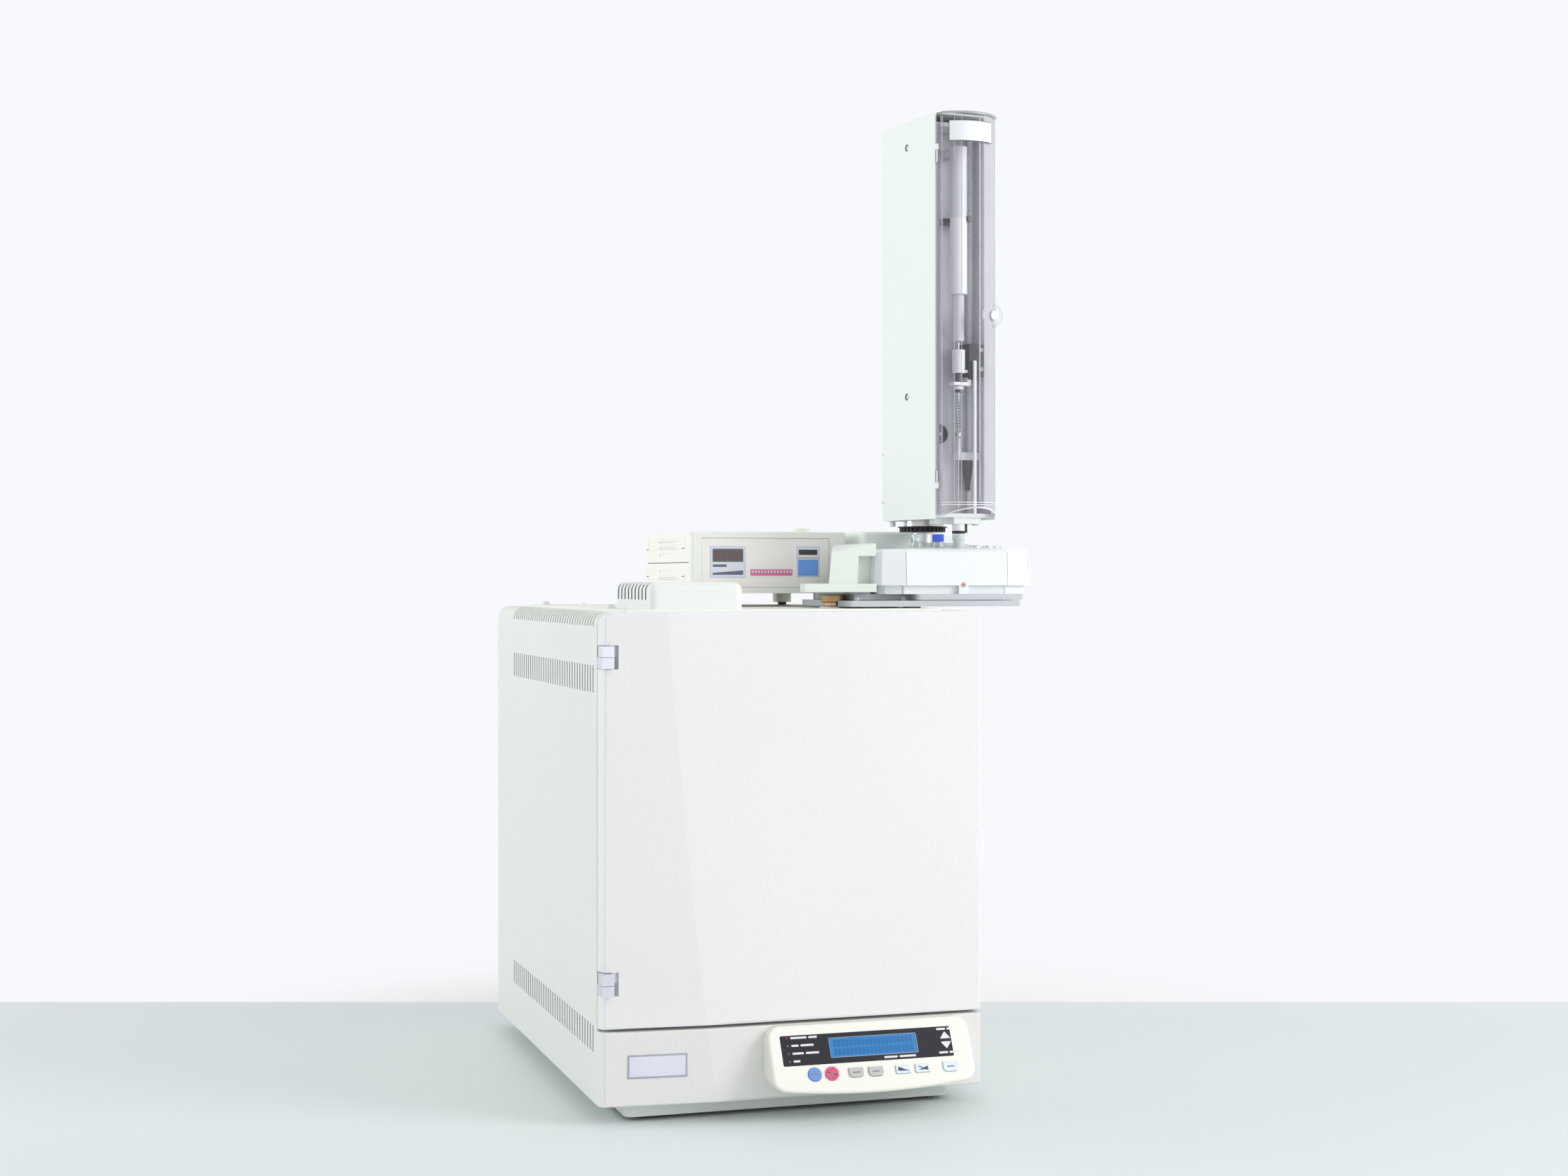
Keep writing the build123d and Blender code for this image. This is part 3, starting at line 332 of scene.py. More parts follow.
def screw_head(radius, height, recess=0.55):
    """A dome, r = R cos a and z = h sin a, less a cross whose depth falls with the distance from
    the middle of its arms."""
    rise = np.linspace(0, np.pi / 2, 12)
    rows = turned(np.stack([radius * np.cos(rise) + 0.02, height * np.sin(rise)], 1), 48)
    ARM_WIDTH, ARM_REACH = 0.2 * radius, 0.62 * radius
    x, y = rows[..., 0], rows[..., 1]
    arm = np.clip(1 - np.minimum(abs(x), abs(y)) / ARM_WIDTH, 0, 1)
    reach = np.clip(1 - (np.hypot(x, y) / ARM_REACH) ** 6, 0, 1)
    rows[..., 2] -= recess * height * arm * reach
    foot = turned([(radius, -0.3)], 48)
    return np.concatenate([foot, rows])


BACK = ((0, 526.0, 0), (-1, 0, 0), (0, 0, 1))  # seat on the back sheet
screw_steel = Finish("screw_steel", Metallic=1.0)
swirl = screw_steel.noise(1500, 3.0)
steel_colour = screw_steel.mixed(swirl, rgb(188, 190, 194), rgb(222, 224, 226))
screw_steel.feed(base_color=steel_colour, roughness=0.26 + 0.2 * swirl)
screw_steel.relief(swirl, 0.01)
rows_of_screws = [(x, z) for x in (-176, -60, 60, 176) for z in (28, 462)]
edges_of_screws = [(x, z) for x in (-176, 176) for z in (175, 320)]
back_screws = [screw(at(BACK, -x, z), 3.6, 1.7) for x, z in rows_of_screws + edges_of_screws]
piece("back_screws", back_screws, screw_steel, "cabinet", "plated_steel")

# ---------------------------------------------------------------- feet
# Four black rubber feet, each a stepped disc moulded round a washer and screwed to the skirt.
rubber = coated("rubber_black", (38, 38, 40), (52, 52, 54), 0.75, peel=900, depth=0.08, speckle=0.4)
dress(rubber, "feet")


# ---------------------------------------------------------------- back fittings
# Plated steel hinge pin and gas bulkheads; a black moulded mains inlet with its rocker.
def metal(name, colour, other, rough, streak, along=(1, 1, 1), depth=0.01, **shader):
    """Bare or plated metal: fine scratches, drawn out along one direction, change its gloss and relief.

    streak is the number of scratches in a metre, along how far they are squeezed in each direction."""
    made = Finish(name, Metallic=1.0, **shader)
    scratches = made.noise(streak, 5.0, along)
    clouds = made.noise(25.0)
    tint = made.mixed(clouds * 0.6 + scratches * 0.4, rgb(*colour), rgb(*other))
    made.feed(base_color=tint, roughness=rough + 0.25 * (scratches - 0.5) + 0.1 * (clouds - 0.5))
    made.relief(scratches, depth)
    return made


plated_steel = metal("plated_steel", (196, 198, 200), (226, 228, 230), 0.3, 900, (1, 6, 1))
dress(plated_steel, "rear_fittings", "turret_post", "guide_rods")
black_plastic = coated("black_plastic", (30, 30, 33), (42, 42, 45), 0.5, peel=1500, depth=0.03)
dress(black_plastic, "power_inlet")
rocker_plastic = coated("rocker_plastic", (24, 24, 26), (34, 34, 36), 0.32, peel=600, depth=0.01)
dress(rocker_plastic, "power_rocker")

# ---------------------------------------------------------------- oven
# A box of white ceramic fibre lined with stainless steel; behind a perforated baffle turns
# the fan, and the wound column hangs on its wire cage.
fibre = Finish("ceramic_fibre", Roughness=0.95)
strands = fibre.noise(420, 5.0, (1, 3, 1))
tufts = fibre.noise(60, 4.0)
fibre_colour = fibre.mixed(strands * 0.5 + tufts * 0.5, rgb(216, 210, 196), rgb(244, 241, 232))
fibre.feed(base_color=fibre_colour, roughness=0.85 + 0.1 * tufts)
fibre.relief(strands * 0.6 + tufts * 0.4, 1.2)
dress(fibre, "oven_casing", "door_insulation")
oven_steel = metal("oven_steel", (168, 168, 166), (206, 205, 200), 0.36, 500, (1, 1, 14), depth=0.02)
dress(oven_steel, "oven_liner", "front_frame", "door_liner", "fan_shroud")
fan_steel = metal("fan_steel", (178, 178, 176), (208, 208, 205), 0.3, 700, depth=0.02)
dress(fan_steel, "oven_fan")
motor_enamel = coated("motor_enamel", (44, 46, 50), (58, 60, 64), 0.55, peel=700, depth=0.06)
dress(motor_enamel, "fan_motor")
column_copper = metal("column_copper", (150, 92, 58), (190, 128, 84), 0.35, 1100, (1, 20, 1), depth=0.15)
OVEN_MIDDLE = 267.5  # height of the fan's and the column's axis
COLUMN = ((0, 132.0, OVEN_MIDDLE), (1, 0, 0), (0, 0, 1))  # its third direction points forward
CAGE_HUB = (0, 114.0, OVEN_MIDDLE)  # where the cage's spokes cross
COIL_OUTSIDE, COIL_INSIDE, COIL_DEPTH = 86.8, 85.2, 36
COIL_PITCH, COIL_SWELL = 3.0, 1.1  # distance from one turn of the column to the next, and its bulge
depths = np.linspace(0, COIL_DEPTH, 85)
swell = abs(np.sin(np.pi * depths / COIL_PITCH))
outside = np.stack([COIL_OUTSIDE + COIL_SWELL * swell, depths], 1)
inside = np.stack([COIL_INSIDE - COIL_SWELL * swell, depths], 1)[::-1]
windings = turning(COLUMN, np.concatenate([outside, inside, outside[:1]]), 96, ends=False)
piece("column_windings", [windings], column_copper, "cabinet", "copper_wire", "column_coil", crisp=60)
wires = [turning((CAGE_HUB, (1, 0, 0), (0, 1, 0)), [(1.8, 86.5), (1.8, 135.4)], 16)]
for lean in np.radians([0, 45, 90, 135]):
    along = np.array([np.cos(lean), 0, np.sin(lean)])
    spoke = (CAGE_HUB, (0, 1, 0), np.cross(along, (0, 1, 0)))
    wires.append(turning(spoke, [(1.7, -85.4), (1.7, 85.4)], 16))
piece("column_cage", wires, oven_steel, "cabinet", "oven_steel")
gasket_rope = Finish("gasket_rope", Roughness=0.9)
weave = {"Vector": gasket_rope.place, "Scale": 60.0, "Distortion": 2.0, "Detail": 2.0}
plaits = gasket_rope.node("ShaderNodeTexWave", {"bands_direction": "DIAGONAL"}, weave)
rope_colour = gasket_rope.mixed(plaits, rgb(150, 146, 138), rgb(206, 202, 192))
gasket_rope.feed(base_color=rope_colour, roughness=0.8 + 0.15 * plaits)
gasket_rope.relief(plaits, 0.6)
dress(gasket_rope, "door_gasket")

# ---------------------------------------------------------------- door and bezel
# Structural-foam mouldings in a white with a trace of lavender, grained like fine leather
# all over; the crease runs down from the top left and on across the fixed lower bezel.


def moulding(name, bright, dark):
    """Moulded structural foam with a fine leather grain; bright and dark are its colours."""
    made = Finish(name, IOR=1.46)
    leather = {"Vector": made.place, "Scale": 620.0, "Smoothness": 0.6}
    pebbles = made.node("ShaderNodeTexVoronoi", {"feature": "SMOOTH_F1"}, leather)
    clouds = made.noise(5.0, 4.0)
    grit = made.noise(900.0, 2.0)
    colour = made.mixed(clouds * 0.75 + pebbles * 0.25, rgb(*bright), rgb(*dark))
    made.feed(base_color=colour, roughness=0.4 + 0.2 * pebbles + 0.08 * (clouds - 0.5))
    made.relief((1 - pebbles) * 0.7 + grit * 0.3, 0.22)
    return made


door_plastic = moulding("door_plastic", (243, 242, 242), (235, 234, 236))
dress(door_plastic, "door_shell", "latch_tab")
bezel_plastic = moulding("bezel_plastic", (236, 236, 232), (228, 228, 225))
dress(bezel_plastic, "lower_bezel")
hinge_silver = metal("hinge_silver", (214, 214, 224), (238, 238, 246), 0.34, 800, (1, 1, 10))
dress(hinge_silver, "hinge_leaf_body", "hinge_leaf_door")


def line(corners, radii, steps=7):
    """A closed plan line, anticlockwise, and its outward normals. A corner of radius r is an arc: its
    centre lies r inside both sides, and each of its points is r times its own normal from there."""
    corners = np.array(corners, float)
    side = np.roll(corners, -1, 0) - corners
    side /= np.linalg.norm(side, axis=1)[:, None]
    after = np.stack([side[:, 1], -side[:, 0]], 1)
    before = np.roll(after, 1, 0)
    even = (before * after).sum(1)
    turn = np.arctan2(before[:, 0] * after[:, 1] - before[:, 1] * after[:, 0], even)
    radius = np.broadcast_to(radii, len(corners)) * np.sign(turn)
    centre = corners - (before + after) * (radius / (1 + even))[:, None]
    angle = np.arctan2(before[:, 1], before[:, 0])[:, None] + turn[:, None] * np.linspace(0, 1, steps)
    normal = np.stack([np.cos(angle), np.sin(angle)], 2)
    points = centre[:, None] + radius[:, None, None] * normal
    return points.reshape(-1, 2), normal.reshape(-1, 2)


def oblong(width, height, radius, x=0.0, y=0.0):
    """A rounded rectangle about a point, as a plan line."""
    half, rise = width / 2, height / 2
    corners = [(x - half, y - rise), (x + half, y - rise), (x + half, y + rise), (x - half, y + rise)]
    return line(corners, radius)


def stacked(plan, levels):
    """Rows of a plan line, each drawn in along its normals and lifted, one for each (inset, height)."""
    points, normals = plan
    inset, height = np.array(levels, float).T[:, :, None, None]
    flat = points - inset * normals
    return np.concatenate([flat, np.broadcast_to(height, flat.shape[:2] + (1,))], 2)


def layered(seat, plan, levels, ends=True):
    """A shape of stacked plan lines that lies on a seat."""
    return skin(placed(seat, stacked(plan, levels)), ends)


def rolled(low, high, foot, brow, steps=4):
    """Levels of an upright wall from low to high, with quarter-round lower and upper edges."""
    turn = np.linspace(0, np.pi / 2, steps)
    lower = np.stack([foot * (1 - np.sin(turn)), low + foot * (1 - np.cos(turn))], 1)
    upper = np.stack([brow * (1 - np.cos(turn)), high - brow * (1 - np.sin(turn))], 1)
    return np.concatenate([lower, upper])


TILT_OF_FACET = np.radians(5.2)
badge_seat = ((-136.0, 5.64, 55.0), (np.cos(TILT_OF_FACET), -np.sin(TILT_OF_FACET), 0), (0, 0, 1))
badge_silver = metal("badge_silver", (222, 221, 232), (238, 237, 246), 0.5, 1500, (12, 1, 1))
badge_rim = metal("badge_rim", (166, 165, 178), (196, 195, 206), 0.36, 1500, (12, 1, 1))
frame_of_badge = np.concatenate([rolled(0, 1.6, 0.1, 0.4), [(1.3, 1.6), (1.6, 1.3)]])
badge = layered(badge_seat, oblong(56.4, 22.0, 1.6), frame_of_badge)
piece("badge_rim", [badge], badge_rim, "cabinet", "badge_silver", "badge_plate")
field = layered(badge_seat, oblong(53.2, 18.8, 0.6), rolled(1.0, 1.42, 0.05, 0.12))
piece("badge_field", [field], badge_silver, "cabinet", "badge_silver")

# ---------------------------------------------------------------- keypad
# A warm white moulding on the bezel with a black window panel let into its tilted face, a
# two-line display, four status lamps and nine keys over a circuit board.
keypad_white = coated("keypad_white", (248, 247, 238), (240, 239, 230), 0.35, peel=1300, depth=0.02)
dress(keypad_white, "keypad_housing")
panel_black = coated("panel_black", (24, 20, 32), (34, 29, 44), 0.16, peel=300, depth=0.004)
dress(panel_black, "keypad_panel")
board_green = coated("circuit_board", (24, 74, 44), (40, 100, 60), 0.4, peel=300, depth=0.02, speckle=0.5)
dress(board_green, "key_board")
TILT = np.radians(28.5)
FACE = ((0, -8.0, 87.0), (1, 0, 0), (0, np.sin(TILT), np.cos(TILT)))  # seat along the face's top edge
display_blue = Finish("display_blue", IOR=1.5, Coat_Weight=0.6)
dots = {"Vector": display_blue.place, "Scale": 190.0, "Distortion": 0.0}
rows_of_dots = display_blue.node("ShaderNodeTexWave", {"bands_direction": "X"}, dots)
glow_of_lamp = display_blue.noise(22.0)
lit = rows_of_dots * 0.35 + glow_of_lamp * 0.5
lit_colour = display_blue.mixed(lit, rgb(6, 108, 176), rgb(24, 142, 214))
display_blue.feed(base_color=lit_colour, roughness=0.18 + 0.1 * glow_of_lamp)
cell_blue = coated("cell_blue", (4, 96, 160), (8, 112, 180), 0.3, peel=2600, depth=0.01)
window = at(FACE, 69.2, -23.2)
glass_of_display = layered(window, oblong(87.6, 19.1, 0.6), rolled(-1.6, -0.45, 0.2, 0.25))
piece("display", [glass_of_display], display_blue, "cabinet", "panel_black")
PRINTED = rolled(-0.1, 0.06, 0.02, 0.04, 2)  # levels of a thick print, and of ink on a key
INKED = rolled(-0.1, 0.06, 0.01, 0.03, 2)
CELL_SPACING = 4.0
places = [at(window, CELL_SPACING * (i - 9.5), y, -0.45) for i in range(20) for y in (4.1, -4.1)]
cells = [layered(place, oblong(3.1, 6.4, 0.3), PRINTED) for place in places]
piece("display_cells", cells, cell_blue, "cabinet", "panel_black")
silver_line = coated("display_rim", (120, 150, 176), (150, 178, 200), 0.3, peel=2000, depth=0.01)
rim_levels = [(0, -0.9), (0, 0.12), (0.2, 0.22), (0.5, 0.22), (0.7, 0.05), (0.7, -0.9), (0, -0.9)]
closed_rim = layered(window, oblong(88.0, 19.5, 0.8), rim_levels, ends=False)
piece("display_rim", [closed_rim], silver_line, "cabinet", "panel_black")

# Status lamps: four small domed lenses. Beside each is a plain white bar, as also at the display
# and the keys.
lens_dim = coated("lamp_lens", (70, 84, 88), (92, 106, 108), 0.2, peel=900, depth=0.01)
lens_red = coated("lamp_lens_red", (110, 40, 52), (140, 54, 66), 0.2, peel=900, depth=0.01)
lens = [(1.25, -0.3), (1.25, 0.1), (1.1, 0.32), (0.8, 0.5), (0.4, 0.6), (0.02, 0.62)]
rows_of_lamps = (11.5, 19.0, 26.6, 34.1)  # distances down the face
lamps = [turning(at(FACE, -16.0, -down), lens, 20) for down in rows_of_lamps]
piece("status_lamps", lamps[1:], lens_dim, "cabinet", "panel_black")
piece("error_lamp", lamps[:1], lens_red, "cabinet", "panel_black")
print_white = coated("print_white", (236, 236, 240), (222, 222, 228), 0.5, peel=3000, depth=0.01)
bars = [  # (left end on the face, length, distance down the face)
    (-12.0, 16.0, 11.5), (5.8, 8.5, 11.5), (-12.0, 7.0, 19.0), (-3.0, 13.0, 19.0),
    (-12.0, 11.0, 26.6), (1.2, 13.0, 26.6), (-12.0, 6.5, 34.1), (78.0, 13.5, 35.6), (93.5, 16.5, 35.6),
    (135.0, 9.0, 11.6), (145.6, 4.4, 11.6), (134.0, 9.0, 34.6), (144.6, 8.6, 34.6),
]
labels = []
for x, long, down in bars:
    labels.append(layered(at(FACE, x + long / 2, -down), oblong(long, 2.0, 0.5), PRINTED))
piece("label_bars", labels, print_white, "cabinet", "panel_black")

# Keys: moulded caps that stand proud of the face; the scroll keys lie almost flush in the black panel.
key_blue = coated("key_blue", (104, 144, 214), (118, 158, 224), 0.34, peel=1500, depth=0.015)
key_pink = coated("key_pink", (216, 76, 124), (226, 96, 140), 0.34, peel=1500, depth=0.015)
key_grey = coated("key_grey", (188, 188, 186), (200, 200, 197), 0.36, peel=1500, depth=0.015)
key_pale = coated("key_pale", (218, 230, 240), (228, 239, 247), 0.34, peel=1500, depth=0.015)
key_white = coated("key_white", (240, 240, 244), (228, 228, 236), 0.3, peel=1500, depth=0.01)
key_ink = coated("key_ink", (58, 62, 96), (72, 78, 112), 0.5, peel=2500, depth=0.01)
faint_ink = coated("faint_ink", (120, 122, 130), (140, 142, 150), 0.5, peel=2500, depth=0.01)
octagon = [(7.0 * np.cos(a), 7.0 * np.sin(a)) for a in np.radians(22.5) + np.arange(8) * np.pi / 4]


def tab(width, height):
    """A plate whose two lower corners are well rounded."""
    half, rise = width / 2, height / 2
    corners = [(-half, -rise), (half, -rise), (half, rise), (-half, rise)]
    return line(corners, [height * 0.42, height * 0.42, 0.8, 0.8])


keys = {  # name: (X, distance down the face, outline, rise, finish, slot)
    "key_start": (6.8, 47.8, oblong(13.0, 13.0, 6.49), 1.4, key_blue, "key_blue"),
    "key_stop": (23.7, 48.1, line(octagon, 0.8), 1.4, key_pink, "key_pink"),
    "key_function_a": (47.6, 48.5, tab(14.5, 9.0), 1.4, key_grey, "key_grey"),
    "key_function_b": (67.4, 48.7, tab(14.5, 9.0), 1.4, key_grey, "key_grey"),
    "key_decrease": (94.6, 48.4, oblong(14.5, 8.0, 1.0), 1.4, key_pale, "key_pale"),
    "key_increase": (114.2, 48.5, oblong(14.5, 8.0, 1.0), 1.4, key_pale, "key_pale"),
    "key_enter": (142.7, 48.8, tab(15.0, 9.5), 1.4, key_pale, "key_pale"),
    "key_scroll_up": (
        142.5, 17.6, line([(-5.5, -3.5), (5.5, -3.5), (0, 3.5)], 0.5), 0.4, key_white, "key_pale",
    ),
    "key_scroll_down": (
        142.5, 27.6, line([(0, -3.5), (5.5, 3.5), (-5.5, 3.5)], 0.5), 0.4, key_white, "key_pale",
    ),
}
for name, (x, down, plan, rise, finish, slot) in keys.items():
    seat = at(FACE, x, -down)
    brow = 0.5 if rise > 1 else 0.15
    dish = [(brow + 0.5, rise - 0.03), (brow + 1.2, rise - 0.1)]
    cap = layered(seat, plan, np.concatenate([rolled(-4.6, rise, 0.1, brow), dish]))
    piece(name + "_cap", [cap], finish, name + "_body", slot, name)

TOP_OF_KEY = 1.3  # mm above the face
wedges = {
    "key_decrease": [(-5.2, -1.7), (5.2, -1.7), (-5.2, 1.7)],
    "key_increase": [(-5.2, -1.7), (5.2, -1.7), (5.2, 1.7)],
}
for name, corners in wedges.items():
    seat = at(FACE, keys[name][0], -keys[name][1], TOP_OF_KEY)
    wedge = layered(seat, line(corners, 0.15, 3), INKED)
    piece(name + "_wedge", [wedge], key_ink, name + "_body", "key_grey")
for name in ("key_function_a", "key_function_b", "key_enter", "key_start", "key_stop"):
    seat = at(FACE, keys[name][0], -keys[name][1], TOP_OF_KEY)
    mark = layered(seat, oblong(7.6, 1.3, 0.4), INKED)
    piece(name + "_mark", [mark], faint_ink, name + "_body", "key_grey")

# ---------------------------------------------------------------- detector cover and injector
# The painted, vented detector hood on the left, and the injector head with its knurled brass
# nut over a copper collar in front of the autosampler's arm.
cover_paint = coated("cover_paint", (240, 243, 242), (235, 239, 238), 0.42)
dress(cover_paint, "detector_cover")
# Dark plates behind the hood's slots are painted shade: they darken the slots the way the shadow inside
# the hood would.
slot_shade = coated("slot_shade", (52, 54, 54), (64, 66, 66), 0.7, peel=900, depth=0.02)
slot_plan = [
    (-129.85, 489.2), (-119.1, 489.2), (-119.1, 505.85), (-122.2, 505.85), (-127.6, 503.4),
    (-129.2, 501.0), (-129.85, 498.0),
]
FIRST_SLOT, SLOT_SPACING, SLOT_HALF_WIDTH = 75.0, 14.0, 2.45
slot_shades = []
for number in range(9):
    slot_seat = ((0, FIRST_SLOT + SLOT_SPACING * number, 0), (1, 0, 0), (0, 0, 1))
    slot_walls = stacked(line(slot_plan, 0.1, 2), [(0, -SLOT_HALF_WIDTH), (0, SLOT_HALF_WIDTH)])
    slot_shades.append(skin(placed(slot_seat, slot_walls)))
piece("hood_slot_shade", slot_shades, slot_shade, "cabinet", "panel_black")
brass = metal("brass", (150, 120, 88), (198, 164, 122), 0.3, 900, (1, 1, 12))
copper = metal("copper", (200, 152, 126), (228, 186, 162), 0.36, 900, (1, 1, 12))
UPRIGHT = ((0, 0, 0), (1, 0, 0), (0, 1, 0))  # seat on the bench, its third direction up
injector = at(UPRIGHT, 76.0, 120.0)


def knurled(profile, teeth, depth, around=240):
    """A turned shape whose rows marked with a 1 carry a diamond knurl: two crossed sets of ridges."""
    profile = np.array(profile, float)
    rows = turned(profile[:, :2], around)
    angle = np.linspace(0, 2 * np.pi, around, endpoint=False)
    height = profile[:, 1:2]
    ridges = [abs(np.mod((teeth * angle + hand * 1.6 * height) / np.pi, 2) - 1) for hand in (1, -1)]
    grown = 1 + depth * profile[:, 2:3] * ridges[0] * ridges[1] / profile[:, :1]
    rows[..., :2] *= grown[..., None]
    return rows


grip = [(12.25, height, 1) for height in np.linspace(486.2, 492.6, 16)]
below_grip = [(0.02, 491.3, 0), (5.1, 491.3, 0), (5.1, 485.6, 0), (11.8, 485.6, 0), (12.2, 485.9, 0)]
above_grip = [(12.2, 492.9, 0), (11.7, 493.3, 0), (0.02, 493.3, 0)]
nut = skin(placed(injector, knurled([*below_grip, *grip, *above_grip], 44, 0.35)))
piece("injector_nut_knurled", [nut], brass, "nut", "brass", "injector_nut", crisp=50)
collar = hoop(
    injector, [(5.1, 482.0), (9.7, 482.0), (10.0, 482.3), (10.0, 485.2), (9.8, 485.6), (5.1, 485.6)], 64,
)
piece("nut_collar", [collar], copper, "nut", "brass")

# ---------------------------------------------------------------- gas-sensor box
# A two-part ivory case on grey feet with rubber pins; the recessed beige front has two pale
# display plates outlined in light blue, dark windows and a blue reset key.
sensor_ivory = coated("sensor_ivory", (250, 252, 245), (245, 248, 240), 0.5, peel=1000, depth=0.08)
dress(sensor_ivory, "sensor_base", "sensor_lid")
sensor_beige = coated("sensor_beige", (250, 246, 242), (253, 249, 246), 0.55, peel=1200, depth=0.02)
dress(sensor_beige, "sensor_front_panel")
SENSOR_FRONT = ((0, 230.8, 0), (1, 0, 0), (0, 0, 1))  # seat on the recessed panel


def plate(seat, x0, x1, y0, y1, low, high, radius=0.6, brow=0.12):
    """A flat closed plate with softened edges between two heights over a seat."""
    plan = oblong(x1 - x0, y1 - y0, radius, (x0 + x1) / 2, (y0 + y1) / 2)
    return layered(seat, plan, rolled(low, high, 0.05, brow, 3))


def ring(seat, width, height, x, y, band, low, high):
    """A flat closed frame of one even width around an oblong."""
    around = oblong(width, height, 0.8, x, y)
    outside = [(0, low), (0, high - 0.1), (0.1, high)]
    inside = [(band - 0.1, high), (band, high - 0.1), (band, low)]
    return layered(seat, around, [*outside, *inside, (0, low)], ends=False)


sensor_outline = coated("sensor_outline", (150, 186, 240), (164, 198, 244), 0.4, peel=1500, depth=0.01)
sensor_pale = coated("sensor_pale", (232, 234, 244), (224, 227, 240), 0.4, peel=1500, depth=0.01)
outlines = [
    plate(SENSOR_FRONT, -21.9, 16.5, 510.3, 543.1, -0.1, 0.12),
    plate(SENSOR_FRONT, 72.9, 98.1, 530.9, 543.1, -0.1, 0.12),
    ring(SENSOR_FRONT, 25.2, 20.6, 85.5, 521.2, 1.5, -0.1, 0.12),
]
piece("sensor_outlines", outlines, sensor_outline, "cabinet", "sensor_beige")
PANEL_X, PANEL_Z = (-31.0, 109.0), (500.0, 552.0)
# A thin dark line round the recessed front panel is painted shade along the recess's edges.
recess_shade = coated("recess_shade", (176, 170, 166), (188, 182, 178), 0.6, peel=1200, depth=0.02)
shade_at_recess_edges = [plate(SENSOR_FRONT, *PANEL_X, z - 0.5, z + 0.5, -0.2, 0.1) for z in PANEL_Z]
shade_at_recess_edges += [plate(SENSOR_FRONT, x - 0.5, x + 0.5, *PANEL_Z, -0.2, 0.1) for x in PANEL_X]
piece("sensor_recess_shade", shade_at_recess_edges, recess_shade, "cabinet", "sensor_beige")
plates = [
    plate(SENSOR_FRONT, -21.4, 16.0, 510.8, 542.6, 0.0, 0.3),
    plate(SENSOR_FRONT, 73.4, 97.6, 531.4, 542.6, 0.0, 0.3),
    ring(SENSOR_FRONT, 24.2, 19.6, 85.5, 521.2, 0.9, 0.0, 0.3),
]
piece("sensor_plates", plates, sensor_pale, "cabinet", "sensor_beige")
sensor_window = coated(
    "sensor_window", (46, 30, 38), (60, 40, 48), 0.14, peel=300, depth=0.004, Coat_Weight=0.5,
)
windows = [
    plate(SENSOR_FRONT, -19.2, 13.9, 526.9, 540.5, 0.1, 0.6),
    plate(SENSOR_FRONT, 74.9, 95.4, 534.4, 539.9, 0.1, 0.6),
]
piece("sensor_windows", windows, sensor_window, "cabinet", "panel_black")

# Four unlit figures behind the window, each of seven bars.
unlit = coated("unlit_segment", (92, 62, 66), (104, 72, 76), 0.4, peel=1500, depth=0.01)
level_bars = [(0, y, 3.6, 0.8) for y in (3.9, 0, -3.9)]
upright_bars = [(x, y, 0.8, 3.1) for x in (-2.2, 2.2) for y in (2.0, -2.0)]
FIRST_FIGURE, FIGURE_SPACING, FIGURE_HEIGHT, SLANT = -14.2, 7.7, 533.7, 0.12
figures = []
for digit in range(4):
    for x, y, width, height in level_bars + upright_bars:
        across = FIRST_FIGURE + FIGURE_SPACING * digit + x + SLANT * y
        spot = at(SENSOR_FRONT, across, FIGURE_HEIGHT + y, 0.6)
        figures.append(
            plate(spot, -width / 2, width / 2, -height / 2, height / 2, -0.05, 0.05, 0.2, 0.02),
        )
piece("unlit_figures", figures, unlit, "cabinet", "panel_black")

sensor_ink = coated("sensor_ink", (92, 96, 124), (108, 112, 138), 0.5, peel=1500, depth=0.01)
ramp_plan = line([(-19.2, 513.4), (13.9, 513.4), (13.9, 518.0), (-19.2, 515.4)], 0.2, 3)
ramp = layered(SENSOR_FRONT, ramp_plan, rolled(0.2, 0.42, 0.02, 0.05, 2))
bar = plate(SENSOR_FRONT, -19.2, -4.0, 521.6, 524.2, 0.2, 0.42)
piece("sensor_ramp", [ramp, bar], sensor_ink, "cabinet", "panel_black")
sensor_pink = coated("sensor_pink", (228, 122, 168), (222, 110, 158), 0.42, peel=1500, depth=0.01)
strip = plate(SENSOR_FRONT, 21.9, 68.0, 512.5, 519.2, -0.1, 0.25)
piece("sensor_strip", [strip], sensor_pink, "cabinet", "sensor_beige")
squares = [
    plate(SENSOR_FRONT, x, x + 1.7, 515.2, 518.0, 0.2, 0.36, 0.2, 0.03)
    for x in np.linspace(23.4, 65.0, 13)
]
piece("sensor_squares", squares, sensor_pale, "cabinet", "sensor_beige")
reset_blue = coated("reset_blue", (108, 160, 240), (120, 172, 246), 0.4, peel=1500, depth=0.02)
key_top = at(SENSOR_FRONT, 0, 0, 0.7)
cap = plate(key_top, 75.0, 96.0, 513.0, 529.0, -3.9, 0.0, 1.0, 0.5)
collar = plate(key_top, 73.5, 97.5, 511.5, 530.5, -4.9, -2.9, 1.0, 0.1)
piece("reset_key_cap", [cap, collar], reset_blue, "sensor_key", "key_blue", "reset_key")
pin = [(4.4, 480.0), (4.8, 480.3), (4.8, 482.7), (4.4, 483.0)]
pins = [turning(at(UPRIGHT, x, y), pin) for x in (-25, 109) for y in (252, 398)]
piece("sensor_pins", pins, rubber, "cabinet", "rubber_black")
SENSOR_SIDE = ((-43.0, 0, 0), (0, -1, 0), (0, 0, 1))  # seat on the case's left side
ledges = [
    plate(SENSOR_SIDE, -405.0, -266.0, z, z + 1.3, -0.3, 0.6)
    for z in (541.2, 545.2, 548.8, 552.4, 500.6, 504.6, 508.6)
]
posts = [
    plate(SENSOR_SIDE, y, y + 11.0, z, z + 14.5, -0.3, 0.5) for y in (-417.0, -265.0)
    for z in (541.2, 496.8)
]
piece("sensor_side_ledges", ledges + posts, sensor_ivory, "cabinet", "sensor_ivory")
